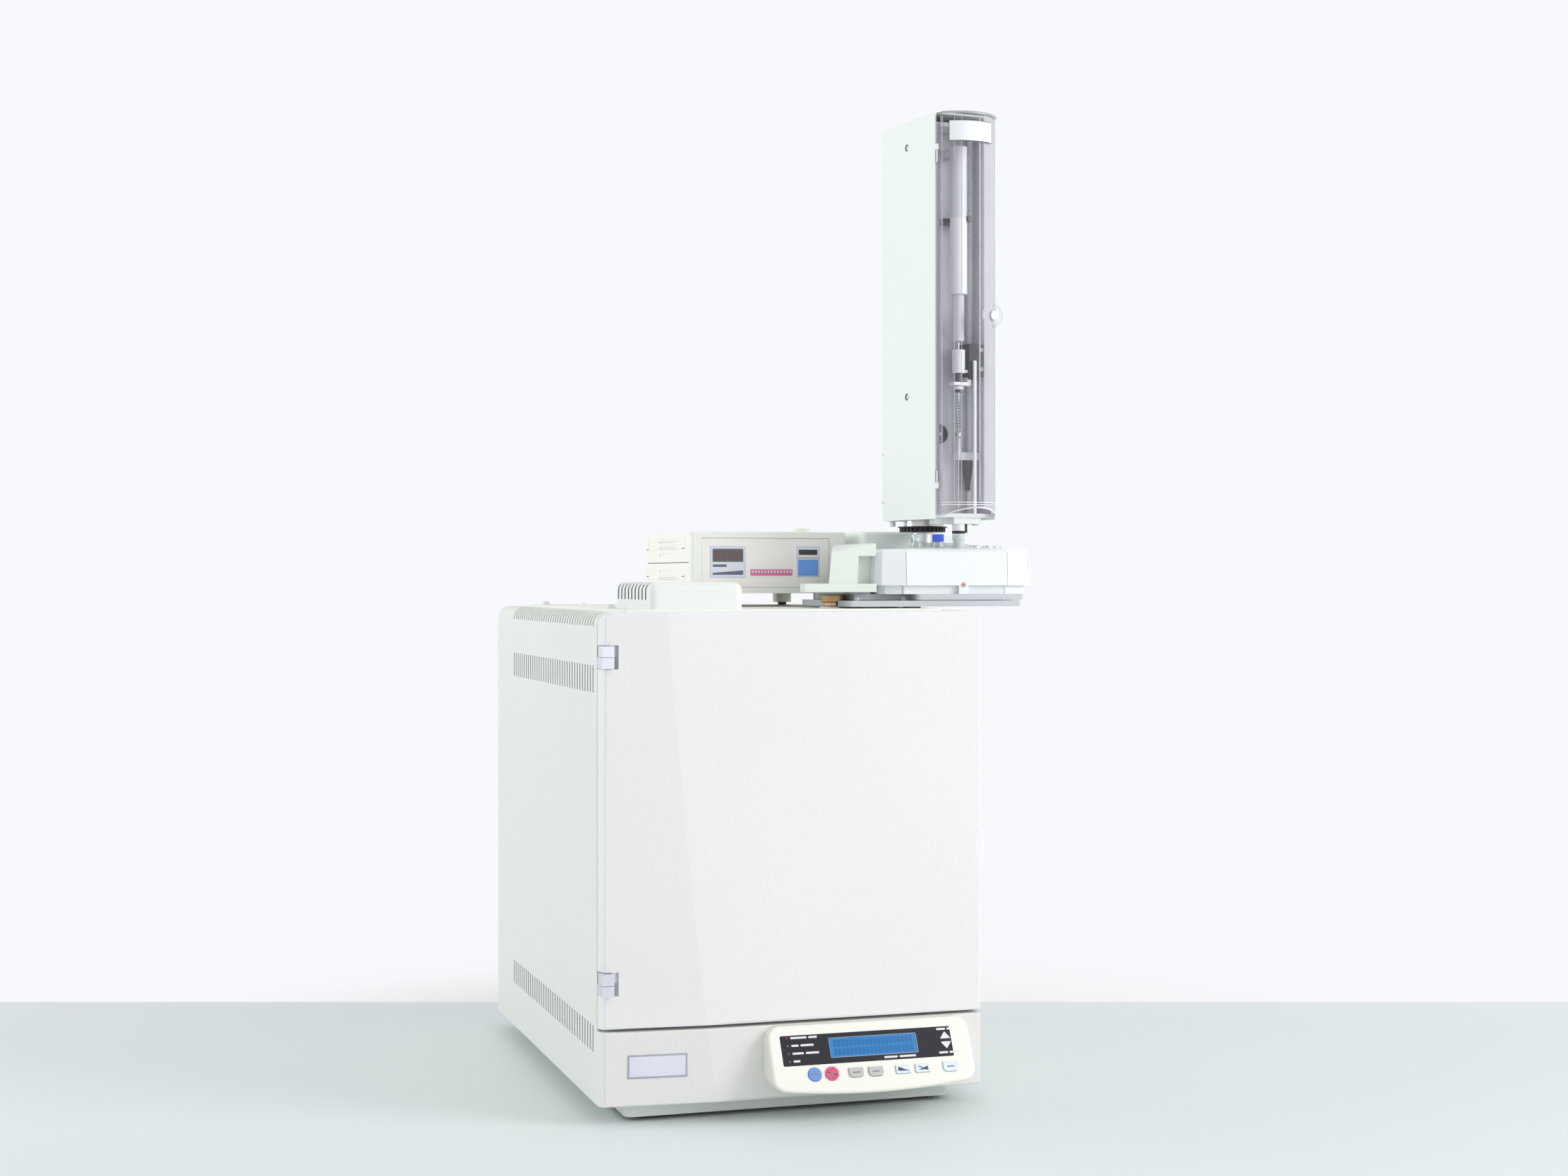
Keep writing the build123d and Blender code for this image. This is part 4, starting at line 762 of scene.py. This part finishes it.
# The dark notches at the foot of the side posts and the dark line along the joint of the two halves are
# painted shade.
notch_shades = [
    plate(SENSOR_SIDE, y + 1.5, y + 9.5, z, z + 0.9, 0.3, 0.62) for y in (-417.0, -265.0)
    for z in (540.9, 511.2)
]
notch_shades.append(plate(SENSOR_SIDE, -412.0, -238.0, 525.9, 526.6, -0.3, 0.1))
piece("sensor_side_notch_shade", notch_shades, sensor_ink, "cabinet", "panel_black")

# White domed caps close the screw holes of the top sheet.
cap_white = coated("cap_white", (244, 245, 246), (236, 238, 240), 0.35, peel=900, depth=0.01)
dome = [(5.6, 0), (5.6, 0.5), (5.2, 1.2), (4.0, 2.0), (2.0, 2.5), (0.02, 2.6)]
caps = [turning(at(UPRIGHT, x, y, 479.9), dome) for x, y in ((-147, 470), (-140, 300), (-145, 160))]
piece("top_caps", caps, cap_white, "cabinet", "cabinet_paint")

# ---------------------------------------------------------------- autosampler stand
# Two grey plates carry the mint tray with its glass vials, the wedge-shaped shroud over the
# injector and the drive housing behind.
sampler_mint = coated("sampler_mint", (228, 237, 229), (222, 231, 224), 0.36, peel=700, depth=0.03)
tower_and_lit_housing_mint = coated("tower_and_lit_housing_mint", (244, 251, 247), (239, 247, 243), 0.36, peel=700, depth=0.03)
# The drive housing takes the tower's lighter mint instead of the sampler's: painted light that offsets
# the shade it sits in under the tower.
dress(tower_and_lit_housing_mint, "drive_housing", "tower_cover")
arm_plan = line([(28.0, 80.0), (108.0, 80.0), (108.0, 210.0), (73.0, 210.0)], [4, 0.5, 0.5, 4])
ARM_FOOT, ARM_TOP = 496.0, 504.5
arm = layered(UPRIGHT, arm_plan, rolled(ARM_FOOT, ARM_TOP, 0.3, 0.8))
pad = plate(UPRIGHT, 90.0, 108.0, 98.0, 205.0, 494.0, 496.2)


def sloped(plan, low, high):
    """A wall between two heights whose left side leans inwards and whose top slopes up to the right.

    low and high are heights, or None for the sloping top."""
    rows = stacked(plan, [(0, share) for share in (0.0, 0.5, 0.97, 1.0)])
    x, share = rows[..., 0], rows[..., 2]
    RISE, LEAN, RIGHT_SIDE, WALL_HEIGHT = 0.198, 0.06, 109.5, 31
    top = 535.5 + (x - 62.5) * RISE if high is None else high
    z = low + share * (top - low)
    rows[..., 0] = x + (RIGHT_SIDE - x) * LEAN * (z - ARM_TOP) / WALL_HEIGHT
    rows[..., 2] = z
    return skin(placed(UPRIGHT, rows))


notched = line(
    [(59.5, 86.0), (90.0, 86.0), (90.0, 100.0), (109.5, 100.0), (109.5, 205.0), (104.0, 205.0)], 0.4,
)
whole = line([(59.5, 86.0), (109.5, 86.0), (109.5, 205.0), (104.0, 205.0)], 0.4)
walls = [sloped(notched, 504.2, 532.0), sloped(whole, 532.0, None)]
piece("shroud_form", [arm, pad, *walls], sampler_mint, "cabinet", "sampler_mint", "injector_shroud")
tray_white = coated("tray_white", (241, 244, 247), (235, 239, 242), 0.38, peel=700, depth=0.03)
dress(tray_white, "vial_tray")
plate_grey = coated("plate_grey", (202, 205, 211), (194, 198, 204), 0.44, peel=900, depth=0.02)
dress(plate_grey, "sampler_base_plate", "sampler_carrier_plate")
tab_front = ((198.7, 74.9, 501.0), (1, 0, 0), (0, 0, 1))
tray_tab = plate(tab_front, -5.2, 5.2, -7.0, 6.5, -1.0, 0.7, 0.8, 0.3)
piece("tray_tab", [tray_tab], tray_white, "cabinet", "sampler_mint")
red_screw = coated("red_screw", (190, 146, 134), (208, 168, 156), 0.4, peel=1500, depth=0.01)
tab_screw = [
    screw(at(tab_front, 0, 2.4, 1.5), 2.2, 0.7),
    turning(at(tab_front, 0, 2.4, 0.5), [(2.0, 0), (2.0, 1.1)]),
]
piece("tab_screw", tab_screw, red_screw, "cabinet", "copper_wire")
spacer = turned([(2.6, 487.4), (2.9, 487.7), (2.9, 490.9), (2.6, 491.2), (0.02, 491.2)])
spacer[0, :, :2] *= 0.02 / 2.6
spacers = [skin(placed(at(UPRIGHT, x, 96.0), spacer)) for x in (92.4, 142.4)]
piece("spacer_screws", spacers, cap_white, "cabinet", "plated_steel")
DRAFT = np.radians(3.0)  # how far the tray's walls lean inwards
CUT = (10.3, 17.3)  # how far the tray's right front corner is cut off, across and deep
cut_side = np.array([*CUT, 0]) / np.hypot(*CUT)
cut_out = np.array([cut_side[1], -cut_side[0], 0])
cut_up = np.array([0, 0, 1]) * np.cos(DRAFT) - cut_out * np.sin(DRAFT)
slit_seat = (np.array([276.6, 88.8, 502.7]), cut_side, cut_up)
# The dark plate in the slit at the tray's cut corner is painted shadow.
shadow = coated("slit_shadow", (96, 102, 102), (112, 118, 118), 0.7, peel=900, depth=0.02)
slit = plate(slit_seat, -0.5, 0.5, 13.0, 33.0, -0.4, 0.06, 0.2, 0.02)
piece("tray_slit_shadow", [slit], shadow, "cabinet", "sampler_mint")
# Grey strips laid in the tray's moulded seams are painted shade that darkens the grooves.
shaded_seams = []
for x in (137.5, 246.7):
    leaning = ((x, 74.0, 502.7), (1, 0, 0), (0, np.sin(DRAFT), np.cos(DRAFT)))
    shaded_seams.append(plate(leaning, -0.32, 0.32, 0.4, 33.4, -0.7, -0.06, 0.1, 0.02))
    below = ((x - 2.1, 79.0, 494.0), (1, 0, 0), (0, 0, 1))
    shaded_seams.append(plate(below, -0.3, 0.3, 0.2, 8.5, -0.4, 0.05, 0.1, 0.02))
seam_shade = coated("seam_shade", (150, 158, 156), (162, 170, 168), 0.6, peel=900, depth=0.02)
piece("tray_seam_shade", shaded_seams, seam_shade, "cabinet", "sampler_mint")

# Vials stand at even angles about the turret's axis: a crimp-necked bottle, one with a blue
# cap, a milky one under the needle and four low ones with crimped silver caps.
glass = Finish("vial_glass", IOR=1.5, Transmission_Weight=1.0)
streaks = glass.noise(60, 2.0)
glass.feed(
    base_color=glass.mixed(streaks, rgb(250, 253, 252), rgb(238, 246, 244)),
    roughness=0.01 + 0.04 * streaks,
)
cap_blue = coated("cap_blue", (48, 84, 214), (62, 98, 226), 0.32, peel=1500, depth=0.01)
milky = coated(
    "milky_vial", (232, 239, 240), (222, 231, 233), 0.25, peel=400, depth=0.01,
    Transmission_Weight=0.25,
)
crimp = metal("crimp_cap", (206, 208, 212), (232, 234, 236), 0.3, 900)
AXIS_X, AXIS_Y = 194.0, 178.0
AXIS = at(UPRIGHT, AXIS_X, AXIS_Y)
GUIDE_FOOT, LOW_NECK = 554.4, 543.0  # tops of the wash vials and of the low vials
TURNED = np.radians(7.5)  # of the turret at rest, from straight ahead
NEEDLE_CIRCLE, STATION = 77.0, np.radians(16.5)
VIAL_HEIGHT = 32.0


def vial(k, top):
    """Seat at the foot of the vial in station k. The stations stand at even angles on the circle
    that the needle describes."""
    angle = -np.pi / 2 + TURNED + k * STATION
    return at(AXIS, NEEDLE_CIRCLE * np.cos(angle), NEEDLE_CIRCLE * np.sin(angle), top - VIAL_HEIGHT)


def bottle(neck):
    """Wall of a bottle from its foot up to a neck and back down inside."""
    outside = [(0.02, 0), (5.4, 0), (5.8, 0.4), (5.8, 20.0), (5.5, 21.6), (4.3, 23.6)]
    outside += [(neck, 25.0), (neck, 28.6)]
    lip = [(neck + 1.2, 29.0), (neck + 1.3, 31.4), (neck + 1.0, 32.0), (neck - 0.9, 32.0)]
    inside = [(neck - 1.0, 24.6), (3.6, 22.4), (4.8, 20.0), (4.8, 1.4), (4.4, 1.0), (0.02, 1.0)]
    return turned(outside + lip + inside, 40)


low = [vial(k, LOW_NECK) for k in (1, 2, 3, 4)]
tall = [vial(k, GUIDE_FOOT) for k in (-2, -1)]
bottles = [skin(placed(tall[0], bottle(3.6)))]
bottles += [skin(placed(seat, bottle(3.9))) for seat in [tall[1], *low]]
piece("vial_bottles", bottles, glass, "cabinet", "vial_glass", "vials", crisp=60)
RIBS_OF_CAP, RIB_SHARE = 16, 0.03
outside = [(5.3, 24.4), (5.75, 24.8), (5.75, 31.4), (5.3, 32.0)]
inside = [(2.4, 32.0), (2.2, 31.4), (2.2, 24.4)]
angle = np.linspace(0, 2 * np.pi, 96, endpoint=False)
screw_cap = turned([*outside, *inside, outside[0]], 96)
screw_cap[1:3, :, :2] *= (1 + RIB_SHARE * np.sign(np.sin(RIBS_OF_CAP * angle)))[:, None]
piece("blue_cap", [skin(placed(tall[1], screw_cap), ends=False)], cap_blue, "cabinet", "key_blue")
body = [(0.02, 0), (5.4, 0), (5.8, 0.4), (5.8, 26.0), (6.3, 26.4), (6.3, 31.2), (5.9, 31.9)]
well = [(2.4, 31.9), (2.2, 31.4), (2.2, 1.6), (0.02, 1.6)]
piece("milky_vial", [turning(vial(0, GUIDE_FOOT), body + well, 48)], milky, "cabinet", "vial_glass")
outside = [(5.5, 25.6), (5.7, 26.0), (5.6, 26.6), (5.7, 27.2), (5.7, 31.6), (5.2, 32.2)]
inside = [(2.6, 32.2), (2.4, 31.7), (2.4, 25.6)]
crimped = [hoop(seat, outside + inside, 48) for seat in low]
piece("crimp_caps", crimped, crimp, "cabinet", "plated_steel")

# A sector of a shallow cone rises inwards round the turret's post. Its outer edge keeps within the
# tray's right side, front side and a circle; the seats outside the sector lie open.
CROWN_UNDER, CROWN_FOOT, CROWN_RISE, CROWN_INSIDE = 538.4, 539.1, 7.6, 32.0
TO_RIGHT_SIDE, TO_FRONT, WIDEST, ALONG_SIDE = 87.0, 95.0, 97.0, 0.05
angle = np.radians(np.linspace(-121.0, 20.0, 72))
within_sides = np.minimum(
    TO_RIGHT_SIDE / np.maximum(np.cos(angle), ALONG_SIDE),
    TO_FRONT / np.maximum(-np.sin(angle), ALONG_SIDE),
)
edge = np.minimum(within_sides, WIDEST)
inner, brow = CROWN_INSIDE + 0 * edge, CROWN_INSIDE + 3 + 0 * edge
crown_top = CROWN_FOOT + CROWN_RISE
loops = []
for reach, height in (
    (inner, CROWN_UNDER), (edge, CROWN_UNDER), (edge, CROWN_FOOT), (brow, crown_top), (inner, crown_top),
):
    loops.append(np.stack([reach * np.cos(angle), reach * np.sin(angle), height + 0 * angle], 1))
crown_skin = skin(placed(AXIS, np.stack(loops).transpose(1, 0, 2)))
piece("tray_crown", [crown_skin], sampler_mint, "cabinet", "sampler_mint")

# ---------------------------------------------------------------- autosampler tower
# A tall painted cover, closed in front by a bowed clear cover on two hinge pins, stands on
# a bearing ring, a toothed pulley and a white arm that holds the needle's guide.
across = np.array([np.cos(TURNED), np.sin(TURNED), 0])
deep = np.array([-np.sin(TURNED), np.cos(TURNED), 0])
axis_foot = np.array([AXIS_X, AXIS_Y, 0.0])
MAST = (axis_foot, across, deep)  # seat of the tower's plan, its third direction up
MAST_FRONT = (axis_foot, across, (0, 0, 1))  # the third direction is forward
MAST_SIDE = (axis_foot, -deep, (0, 0, 1))  # the third direction is to the left
needle_seat = at(MAST, 0, -NEEDLE_CIRCLE)
sampler_white = coated("sampler_white", (240, 241, 240), (232, 234, 234), 0.36, peel=700, depth=0.02)
dress(sampler_white, "tower_chassis")
dress(black_plastic, "turret_pulley", "belt_pulley")
DIMPLES = (952, 696)  # heights
side_screws = [screw(at(MAST_SIDE, 32.0, z, 34.3), 2.9, 0.9) for z in DIMPLES]
side_screws += [screw(at(MAST_SIDE, -20.6, z, 35.4), 2.5, 0.7) for z in (640, 590)]
piece("tower_screws", side_screws, screw_steel, "turret", "plated_steel")
# Dark rings line the screw dimples in the cover: painted shade in the recesses.
dimple = [(3.15, -0.9), (3.7, -0.1), (3.7, 0.12), (3.4, 0.16), (2.9, -0.5), (2.9, -0.9)]
rim_shadows = [hoop(at(MAST_SIDE, 32.0, z, 35.5), dimple, 40) for z in DIMPLES]
piece("screw_rim_shadows", rim_shadows, shadow, "turret", "sampler_grey")
ring_steel = metal("ring_steel", (190, 188, 190), (226, 224, 226), 0.24, 700, (1, 1, 30))
bearing = [(19.3, 563.7), (19.8, 564.0), (19.8, 571.2), (19.4, 571.5), (14.0, 571.5), (14.0, 563.7)]
piece("bearing_ring", [hoop(MAST, bearing, 80)], ring_steel, "turret", "sampler_grey")
guide_tip = hoop(needle_seat, [(1.4, 554.9), (6.1, 554.9), (6.6, 555.4), (6.6, 558.0), (1.4, 558.0)], 40)
guide_lug = plate(MAST, 6.0, 9.4, -79.0, -71.0, 556.0, 565.2)
piece("guide_tip", [guide_tip, guide_lug], black_plastic, "turret", "panel_black")
arm_screw = screw(at(MAST, 20.0, -76.0, 571.4), 2.6, 1.4)
arm_nut = turning(at(MAST, 20.0, -76.0, 563.8), [(3.1, 0), (3.4, 0.3), (3.4, 1.5), (3.1, 1.8)])
piece("arm_screws", [arm_screw, arm_nut], screw_steel, "turret", "plated_steel")

# The inside is a channel of satin aluminium with a frosted light tube at its top, a threaded
# screw and a steel rod for the carriage, painted white as its highlight, and a white block with a dark
# funnel at its foot.
# The channel's colour drifts in patches from white to grey: a painted reflection of brushed metal.
channel = coated(
    "channel_paint_and_sheen", (250, 249, 252), (212, 210, 220), 0.34, peel=400, depth=0.01, drift=16.0,
)
CHANNEL_BACK, CHANNEL_FOOT, CHANNEL_TOP = -50.4, 576.0, 965.5
channel_walls = [
    plate(MAST, -33.6, 33.6, -50.8, -50.15, CHANNEL_FOOT, CHANNEL_TOP),
    plate(MAST, -33.75, -33.2, -90.5, CHANNEL_BACK, CHANNEL_FOOT, CHANNEL_TOP),
    plate(MAST, 33.2, 33.75, -90.5, CHANNEL_BACK, CHANNEL_FOOT, CHANNEL_TOP),
]
piece("channel", channel_walls, channel, "turret", "oven_steel")
flanges = [plate(MAST, x0, x1, -91.4, -90.4, 574.0, 969.0) for x0, x1 in ((-33.8, -29.6), (29.6, 33.8))]
piece("channel_flanges", flanges, plate_grey, "turret", "sampler_grey")
# The slide rod is steel; its white finish is a painted highlight.
rod_painted_highlight = coated(
    "rod_painted_highlight", (253, 252, 255), (248, 247, 252), 0.2, peel=500, depth=0.005, Coat_Weight=0.6,
)
rod_profile = [(0.02, 575.5), (1.9, 575.5), (1.9, 730.6), (1.5, 731.0), (0.02, 731.0)]
rod = turning(at(MAST, 14.6, -84.6), rod_profile)
piece("slide_rod", [rod], rod_painted_highlight, "turret", "plated_steel", "guide_rods")
PITCH = 3.0  # mm of the screw's thread
levels = np.arange(575.5, 966.01, 0.5)
thread = turned([(3.0, level) for level in levels], 20)
angle = np.linspace(0, 1, 20, endpoint=False)
THREAD_DEPTH = 0.14  # share of the screw's radius
flank = abs(np.mod(levels[:, None] / PITCH + angle, 1) * 2 - 1)
thread[..., :2] *= (1 - THREAD_DEPTH + THREAD_DEPTH * flank)[..., None]
lead_screw = skin(placed(at(MAST, 24.0, -58.0), thread))
piece("lead_screw", [lead_screw], channel, "turret", "plated_steel", crisp=60)
edge_white = coated("edge_white", (250, 250, 253), (242, 243, 248), 0.3, peel=700, depth=0.01)
block = plate(MAST, 8.4, 30.2, -67.0, CHANNEL_BACK, 630.8, 638.8, 0.8, 0.4)
strip = plate(MAST, 6.7, 9.1, -66.0, -60.0, 631.0, 703.5, 0.6, 0.3)
piece("foot_block", [block, strip], edge_white, "turret", "sampler_grey")
funnel_grey = coated("funnel_grey", (78, 78, 84), (96, 96, 102), 0.34, peel=500, depth=0.01)
spout = [(0.02, 600.0), (2.6, 600.0), (3.0, 600.4), (3.0, 602.5), (2.6, 603.0)]
funnel = turning(at(MAST, 20.0, -60.0), [*spout, (5.6, 626.0), (5.6, 631.2), (0.02, 631.2)])
piece("funnel", [funnel], funnel_grey, "turret", "panel_black")
frosted = coated("frosted_tube", (253, 253, 255), (246, 247, 250), 0.5, peel=500, depth=0.01)
smoky = coated("smoky_tube", (226, 227, 233), (238, 239, 243), 0.4, peel=500, depth=0.01)
lower_tube = hoop(needle_seat, [(8.6, 798.2), (8.8, 798.6), (8.8, 875.0), (7.0, 875.0), (7.0, 798.2)], 48)
piece("light_tube", [lower_tube], frosted, "turret", "sampler_grey")
upper_tube = hoop(needle_seat, [(8.7, 875.0), (8.7, 947.6), (8.4, 948.0), (7.0, 948.0), (7.0, 875.0)], 48)
tube_holder = plate(MAST, -6.0, 6.0, -70.0, CHANNEL_BACK, 940.0, 948.0)
piece("smoky_tube", [upper_tube, tube_holder], smoky, "turret", "sampler_grey")
clips = [
    plate(MAST, -13.0, 13.0, -69.6, CHANNEL_BACK, 872.0, 876.0),
    plate(MAST, 6.0, 10.5, -86.0, -66.0, 872.0, 877.5),
]
piece("tube_clip", clips, funnel_grey, "turret", "panel_black")

# The syringe hangs from the carriage in a white clamp: glass barrel, steel needle, a milky
# sleeve round the plunger's head, and the drive rod that comes down out of the tube.
clamp_end = [(0.02, 705.2), (2.4, 705.2), (2.8, 705.8), (2.8, 711.0), (2.2, 711.8), (0.02, 711.8)]
clamp = [
    plate(MAST, -8.7, 10.0, -82.2, -71.8, 705.7, 709.0, 1.0, 0.4),
    plate(MAST, 7.6, 11.0, -79.0, -70.0, 706.0, 714.0, 0.8, 0.3),
    turning(at(MAST, 10.2, -79.8), clamp_end),
]
piece("syringe_clamp", clamp, edge_white, "syringe_carriage", "sampler_grey")
carriage_block = [
    plate(MAST, 9.4, 22.3, -82.0, -61.6, 712.6, 748.4, 0.8, 0.5),
    plate(MAST, 22.0, 31.8, -80.6, -61.6, 716.3, 748.4, 1.4, 0.5),
]
piece("carriage_block", carriage_block, black_plastic, "syringe_carriage", "panel_black", "carriage")
block_screws = [screw(at(MAST_FRONT, 25.2, z, 80.5), 2.4, 0.8) for z in (722.9, 742.6)]
piece("carriage_screws", block_screws, screw_steel, "syringe_carriage", "plated_steel")
barrel = [(1.1, 658.0), (1.6, 655.4), (3.0, 655.4), (3.4, 656.4), (3.4, 726.0), (1.1, 726.0)]
glass_barrel = hoop(needle_seat, barrel, 40)
piece("syringe_glass", [glass_barrel], glass, "syringe_carriage", "vial_glass", "syringe_barrel")
steel = [(0.02, 557.5), (0.42, 558.6), (0.45, 652.0)]
hub = [(2.2, 653.0), (2.8, 654.0), (2.8, 657.6), (2.2, 658.0), (0.02, 658.0)]
piece("needle", [turning(needle_seat, steel + hub, 24)], plated_steel, "syringe_carriage", "plated_steel")
marks = []
for z in np.arange(664.0, 695.0, 3.0):
    marks.append(hoop(needle_seat, [(3.4, z), (3.46, z), (3.46, z + 0.3), (3.4, z + 0.3)], 40))
piece("syringe_marks", marks, faint_ink, "syringe_carriage", "panel_black")
flange = [(3.5, 718.2), (6.3, 718.2), (6.5, 718.5), (6.5, 721.6), (6.3, 722.0), (3.5, 722.0)]
collar = [(3.45, 701.6), (5.0, 701.6), (5.2, 702.0), (5.2, 704.4), (5.0, 704.8), (3.45, 704.8)]
knob = turning(at(needle_seat, 8.6), [(2.4, 718.6), (2.9, 719.0), (2.9, 721.4), (2.4, 721.8)])
rings = [hoop(needle_seat, loop, 40) for loop in (flange, collar)]
piece("syringe_flange", [*rings, knob], edge_white, "syringe_carriage", "sampler_grey")
head = [(3.45, 709.2), (4.0, 709.4), (4.0, 717.8), (3.45, 718.0)]
foot = [(3.45, 698.6), (3.8, 698.8), (3.8, 701.4), (3.45, 701.6)]
bands = [hoop(needle_seat, loop, 40) for loop in (head, foot)]
piece("barrel_bands", bands, funnel_grey, "syringe_carriage", "panel_black")
sleeve = [(6.2, 722.0), (6.6, 722.3), (6.6, 741.7), (6.2, 742.0), (5.8, 742.0), (5.8, 722.0)]
piece("syringe_sleeve", [hoop(needle_seat, sleeve, 40)], edge_white, "syringe_carriage", "sampler_grey")
dress(plated_steel, "plunger")
column_pale = coated("drive_column", (236, 234, 246), (226, 225, 238), 0.35, peel=500, depth=0.01)
column_loop = [(5.4, 750.5), (5.65, 750.8), (5.65, 869.7), (5.4, 870.0), (5.52, 870.0), (5.52, 750.5)]
column = turned([*column_loop, column_loop[0]], 48)
column[3:6, :, :2] *= 0.98  # the column is hollow from its upper end down
drive_column = skin(placed(needle_seat, column), ends=False)
piece("drive_column", [drive_column], column_pale, "plunger_drive", "sampler_grey")

# The clear cover's own plan is an arc about (0, BOW_B) in the tower's plan.
BOW_R, BOW_B = 40.8, -72.2
ARCH_TOP, ARCH_R, ARCH_MIDDLE = 581.1, 74.7, 3.0  # height, radius and middle of its arched lower edge


def arch_height(x):
    """Height of the clear cover's shallow arched lower edge."""
    return ARCH_TOP - ARCH_R + np.sqrt(ARCH_R ** 2 - (x - ARCH_MIDDLE) ** 2)


def bowed(x0, x1, z0, z1, low, high, steps=16):
    """A closed band that lies on the bowed cover between two of its widths and heights.

    z0 is None for a band that ends at the arched lower edge."""
    start, end = np.arcsin(np.array([x0, x1]) / BOW_R)
    angle = np.linspace(start, end, steps)
    reach = np.array([high, high, low, low])[:, None] + BOW_R
    below = arch_height(BOW_R * np.sin(angle)) if z0 is None else z0 + 0 * angle
    level = np.stack([below, z1 + 0 * angle, z1 + 0 * angle, below])
    rows = np.stack([reach * np.sin(angle), BOW_B - reach * np.cos(angle), level], 2)
    return skin(placed(MAST, rows.transpose(1, 0, 2)))


def tube_along(path, radius, around=10):
    """A round tube along a path; its circles lie across the path."""
    path = np.array(path, float)
    ahead = np.gradient(path, axis=0)
    ahead /= np.linalg.norm(ahead, axis=1)[:, None]
    side = np.cross(ahead, path - path.mean(0) + (0.013, 0.017, 0.019))
    side /= np.linalg.norm(side, axis=1)[:, None]
    other = np.cross(ahead, side)
    angle = np.linspace(0, 2 * np.pi, around, endpoint=False)
    around_path = np.cos(angle)[:, None] * side[:, None] + np.sin(angle)[:, None] * other[:, None]
    return path[:, None] + radius * around_path


clear = Finish("clear_plastic", IOR=1.45)
haze = clear.noise(40, 3.0)
gloss = clear.node("ShaderNodeFresnel", {}, {"IOR": 1.35})
tint = clear.mixed(haze, rgb(222, 222, 228), rgb(208, 208, 214))
clear.feed(roughness=0.04 + 0.06 * haze, base_color=tint, alpha=0.01 + 0.03 * haze + 0.9 * gloss)
COVER_LEFT, COVER_RIGHT = -32.4, 34.6
angle = np.arcsin(np.linspace(COVER_LEFT, COVER_RIGHT, 41) / BOW_R)
cap_plan = np.stack([(BOW_R - 0.1) * np.sin(angle), BOW_B - (BOW_R - 0.1) * np.cos(angle)], 1)
cover_cap = layered(MAST, (cap_plan, 0 * cap_plan), [(0, 976.5), (0, 978.0)])
shell = [bowed(COVER_LEFT, COVER_RIGHT, None, 976.4, -2.0, 0.0, 48), cover_cap]
for low, high in ((606.3, 618.0), (928.0, 939.7)):
    shell.append(hoop(at(MAST, -34.3, -94.2), [(1.0, low), (1.75, low), (1.75, high), (1.0, high)], 24))
piece("clear_shell", shell, clear, "viewing_cover", "clear_plastic", "clear_cover")
label_white = coated("label_white", (248, 248, 250), (240, 241, 244), 0.3, peel=900, depth=0.01)
label = bowed(-25.4, 20.0, 948.6, 968.2, 0.05, 0.5)
piece("label_plate", [label], label_white, "viewing_cover", "badge_silver")
# A dark rim just behind the label plate is a painted shadow round its edge.
label_edge_shadow = bowed(-26.0, 20.6, 948.0, 968.8, 0.02, 0.3)
piece("label_edge_shadow", [label_edge_shadow], shadow, "viewing_cover", "badge_silver")
edge_grey = coated("edge_grey", (166, 166, 172), (182, 182, 188), 0.36, peel=700, depth=0.01)
seam = bowed(-34.6, 34.6, 975.9, 977.5, 0.02, 0.3)
piece("cover_top_seam", [seam], edge_grey, "viewing_cover", "clear_plastic")
bands = [bowed(-32.0, 34.4, z, z + 0.7, 0.02, 0.3) for z in (583.3, 585.7)]
piece("cover_bands", bands, edge_white, "viewing_cover", "clear_plastic")
x = np.linspace(-32.0, 34.2, 60)
arch = np.stack([x, BOW_B - np.sqrt((BOW_R - 1.0) ** 2 - x ** 2), arch_height(x)], 1)
edge_bead = skin(placed(MAST, tube_along(arch, 0.9)))
piece("cover_arch_edge", [edge_bead], edge_white, "viewing_cover", "clear_plastic")

# Inside the cover two ribs are cut like a saw, and two fine grooves run beside them.
RIB_FOOT, RIB_TOP = 588.0, 975.0
saw_cuts = []
for x in (-29.6, 6.0):
    rows = turned([(0.9, z) for z in np.arange(RIB_FOOT, RIB_TOP, 0.6)], 8)
    rows[..., :2] *= 0.45 + 0.55 * (np.arange(rows.shape[0]) % 4 < 2)[:, None, None]
    saw_cuts.append(skin(placed(at(MAST, x, BOW_B - np.sqrt((BOW_R - 2.6) ** 2 - x ** 2)), rows)))
piece("cover_ribs", saw_cuts, edge_white, "viewing_cover", "clear_plastic")
grooves = [bowed(x, x + 0.6, RIB_FOOT, RIB_TOP, -2.3, -2.02, 2) for x in (-21.7, -14.9)]
piece("cover_grooves", grooves, edge_white, "viewing_cover", "clear_plastic")
thumb = at(MAST_FRONT, 25.2, 775.5, 100.5)
tab_clear = coated(
    "thumb_tab", (232, 236, 236), (222, 228, 228), 0.2, peel=400, depth=0.01,
    Transmission_Weight=0.6,
)
tab_disc = turning(thumb, [(11.6, -1.2), (12.0, -0.8), (12.0, 0.8), (11.6, 1.2)], 48)
piece("thumb_tab", [tab_disc], tab_clear, "viewing_cover", "clear_plastic")
knob = turning(thumb, [(4.9, 1.0), (4.9, 5.8), (4.4, 6.5), (2.0, 6.5), (1.7, 6.2), (0.02, 6.2)], 40)
piece("thumb_knob", [knob], sampler_white, "viewing_cover", "sampler_mint")
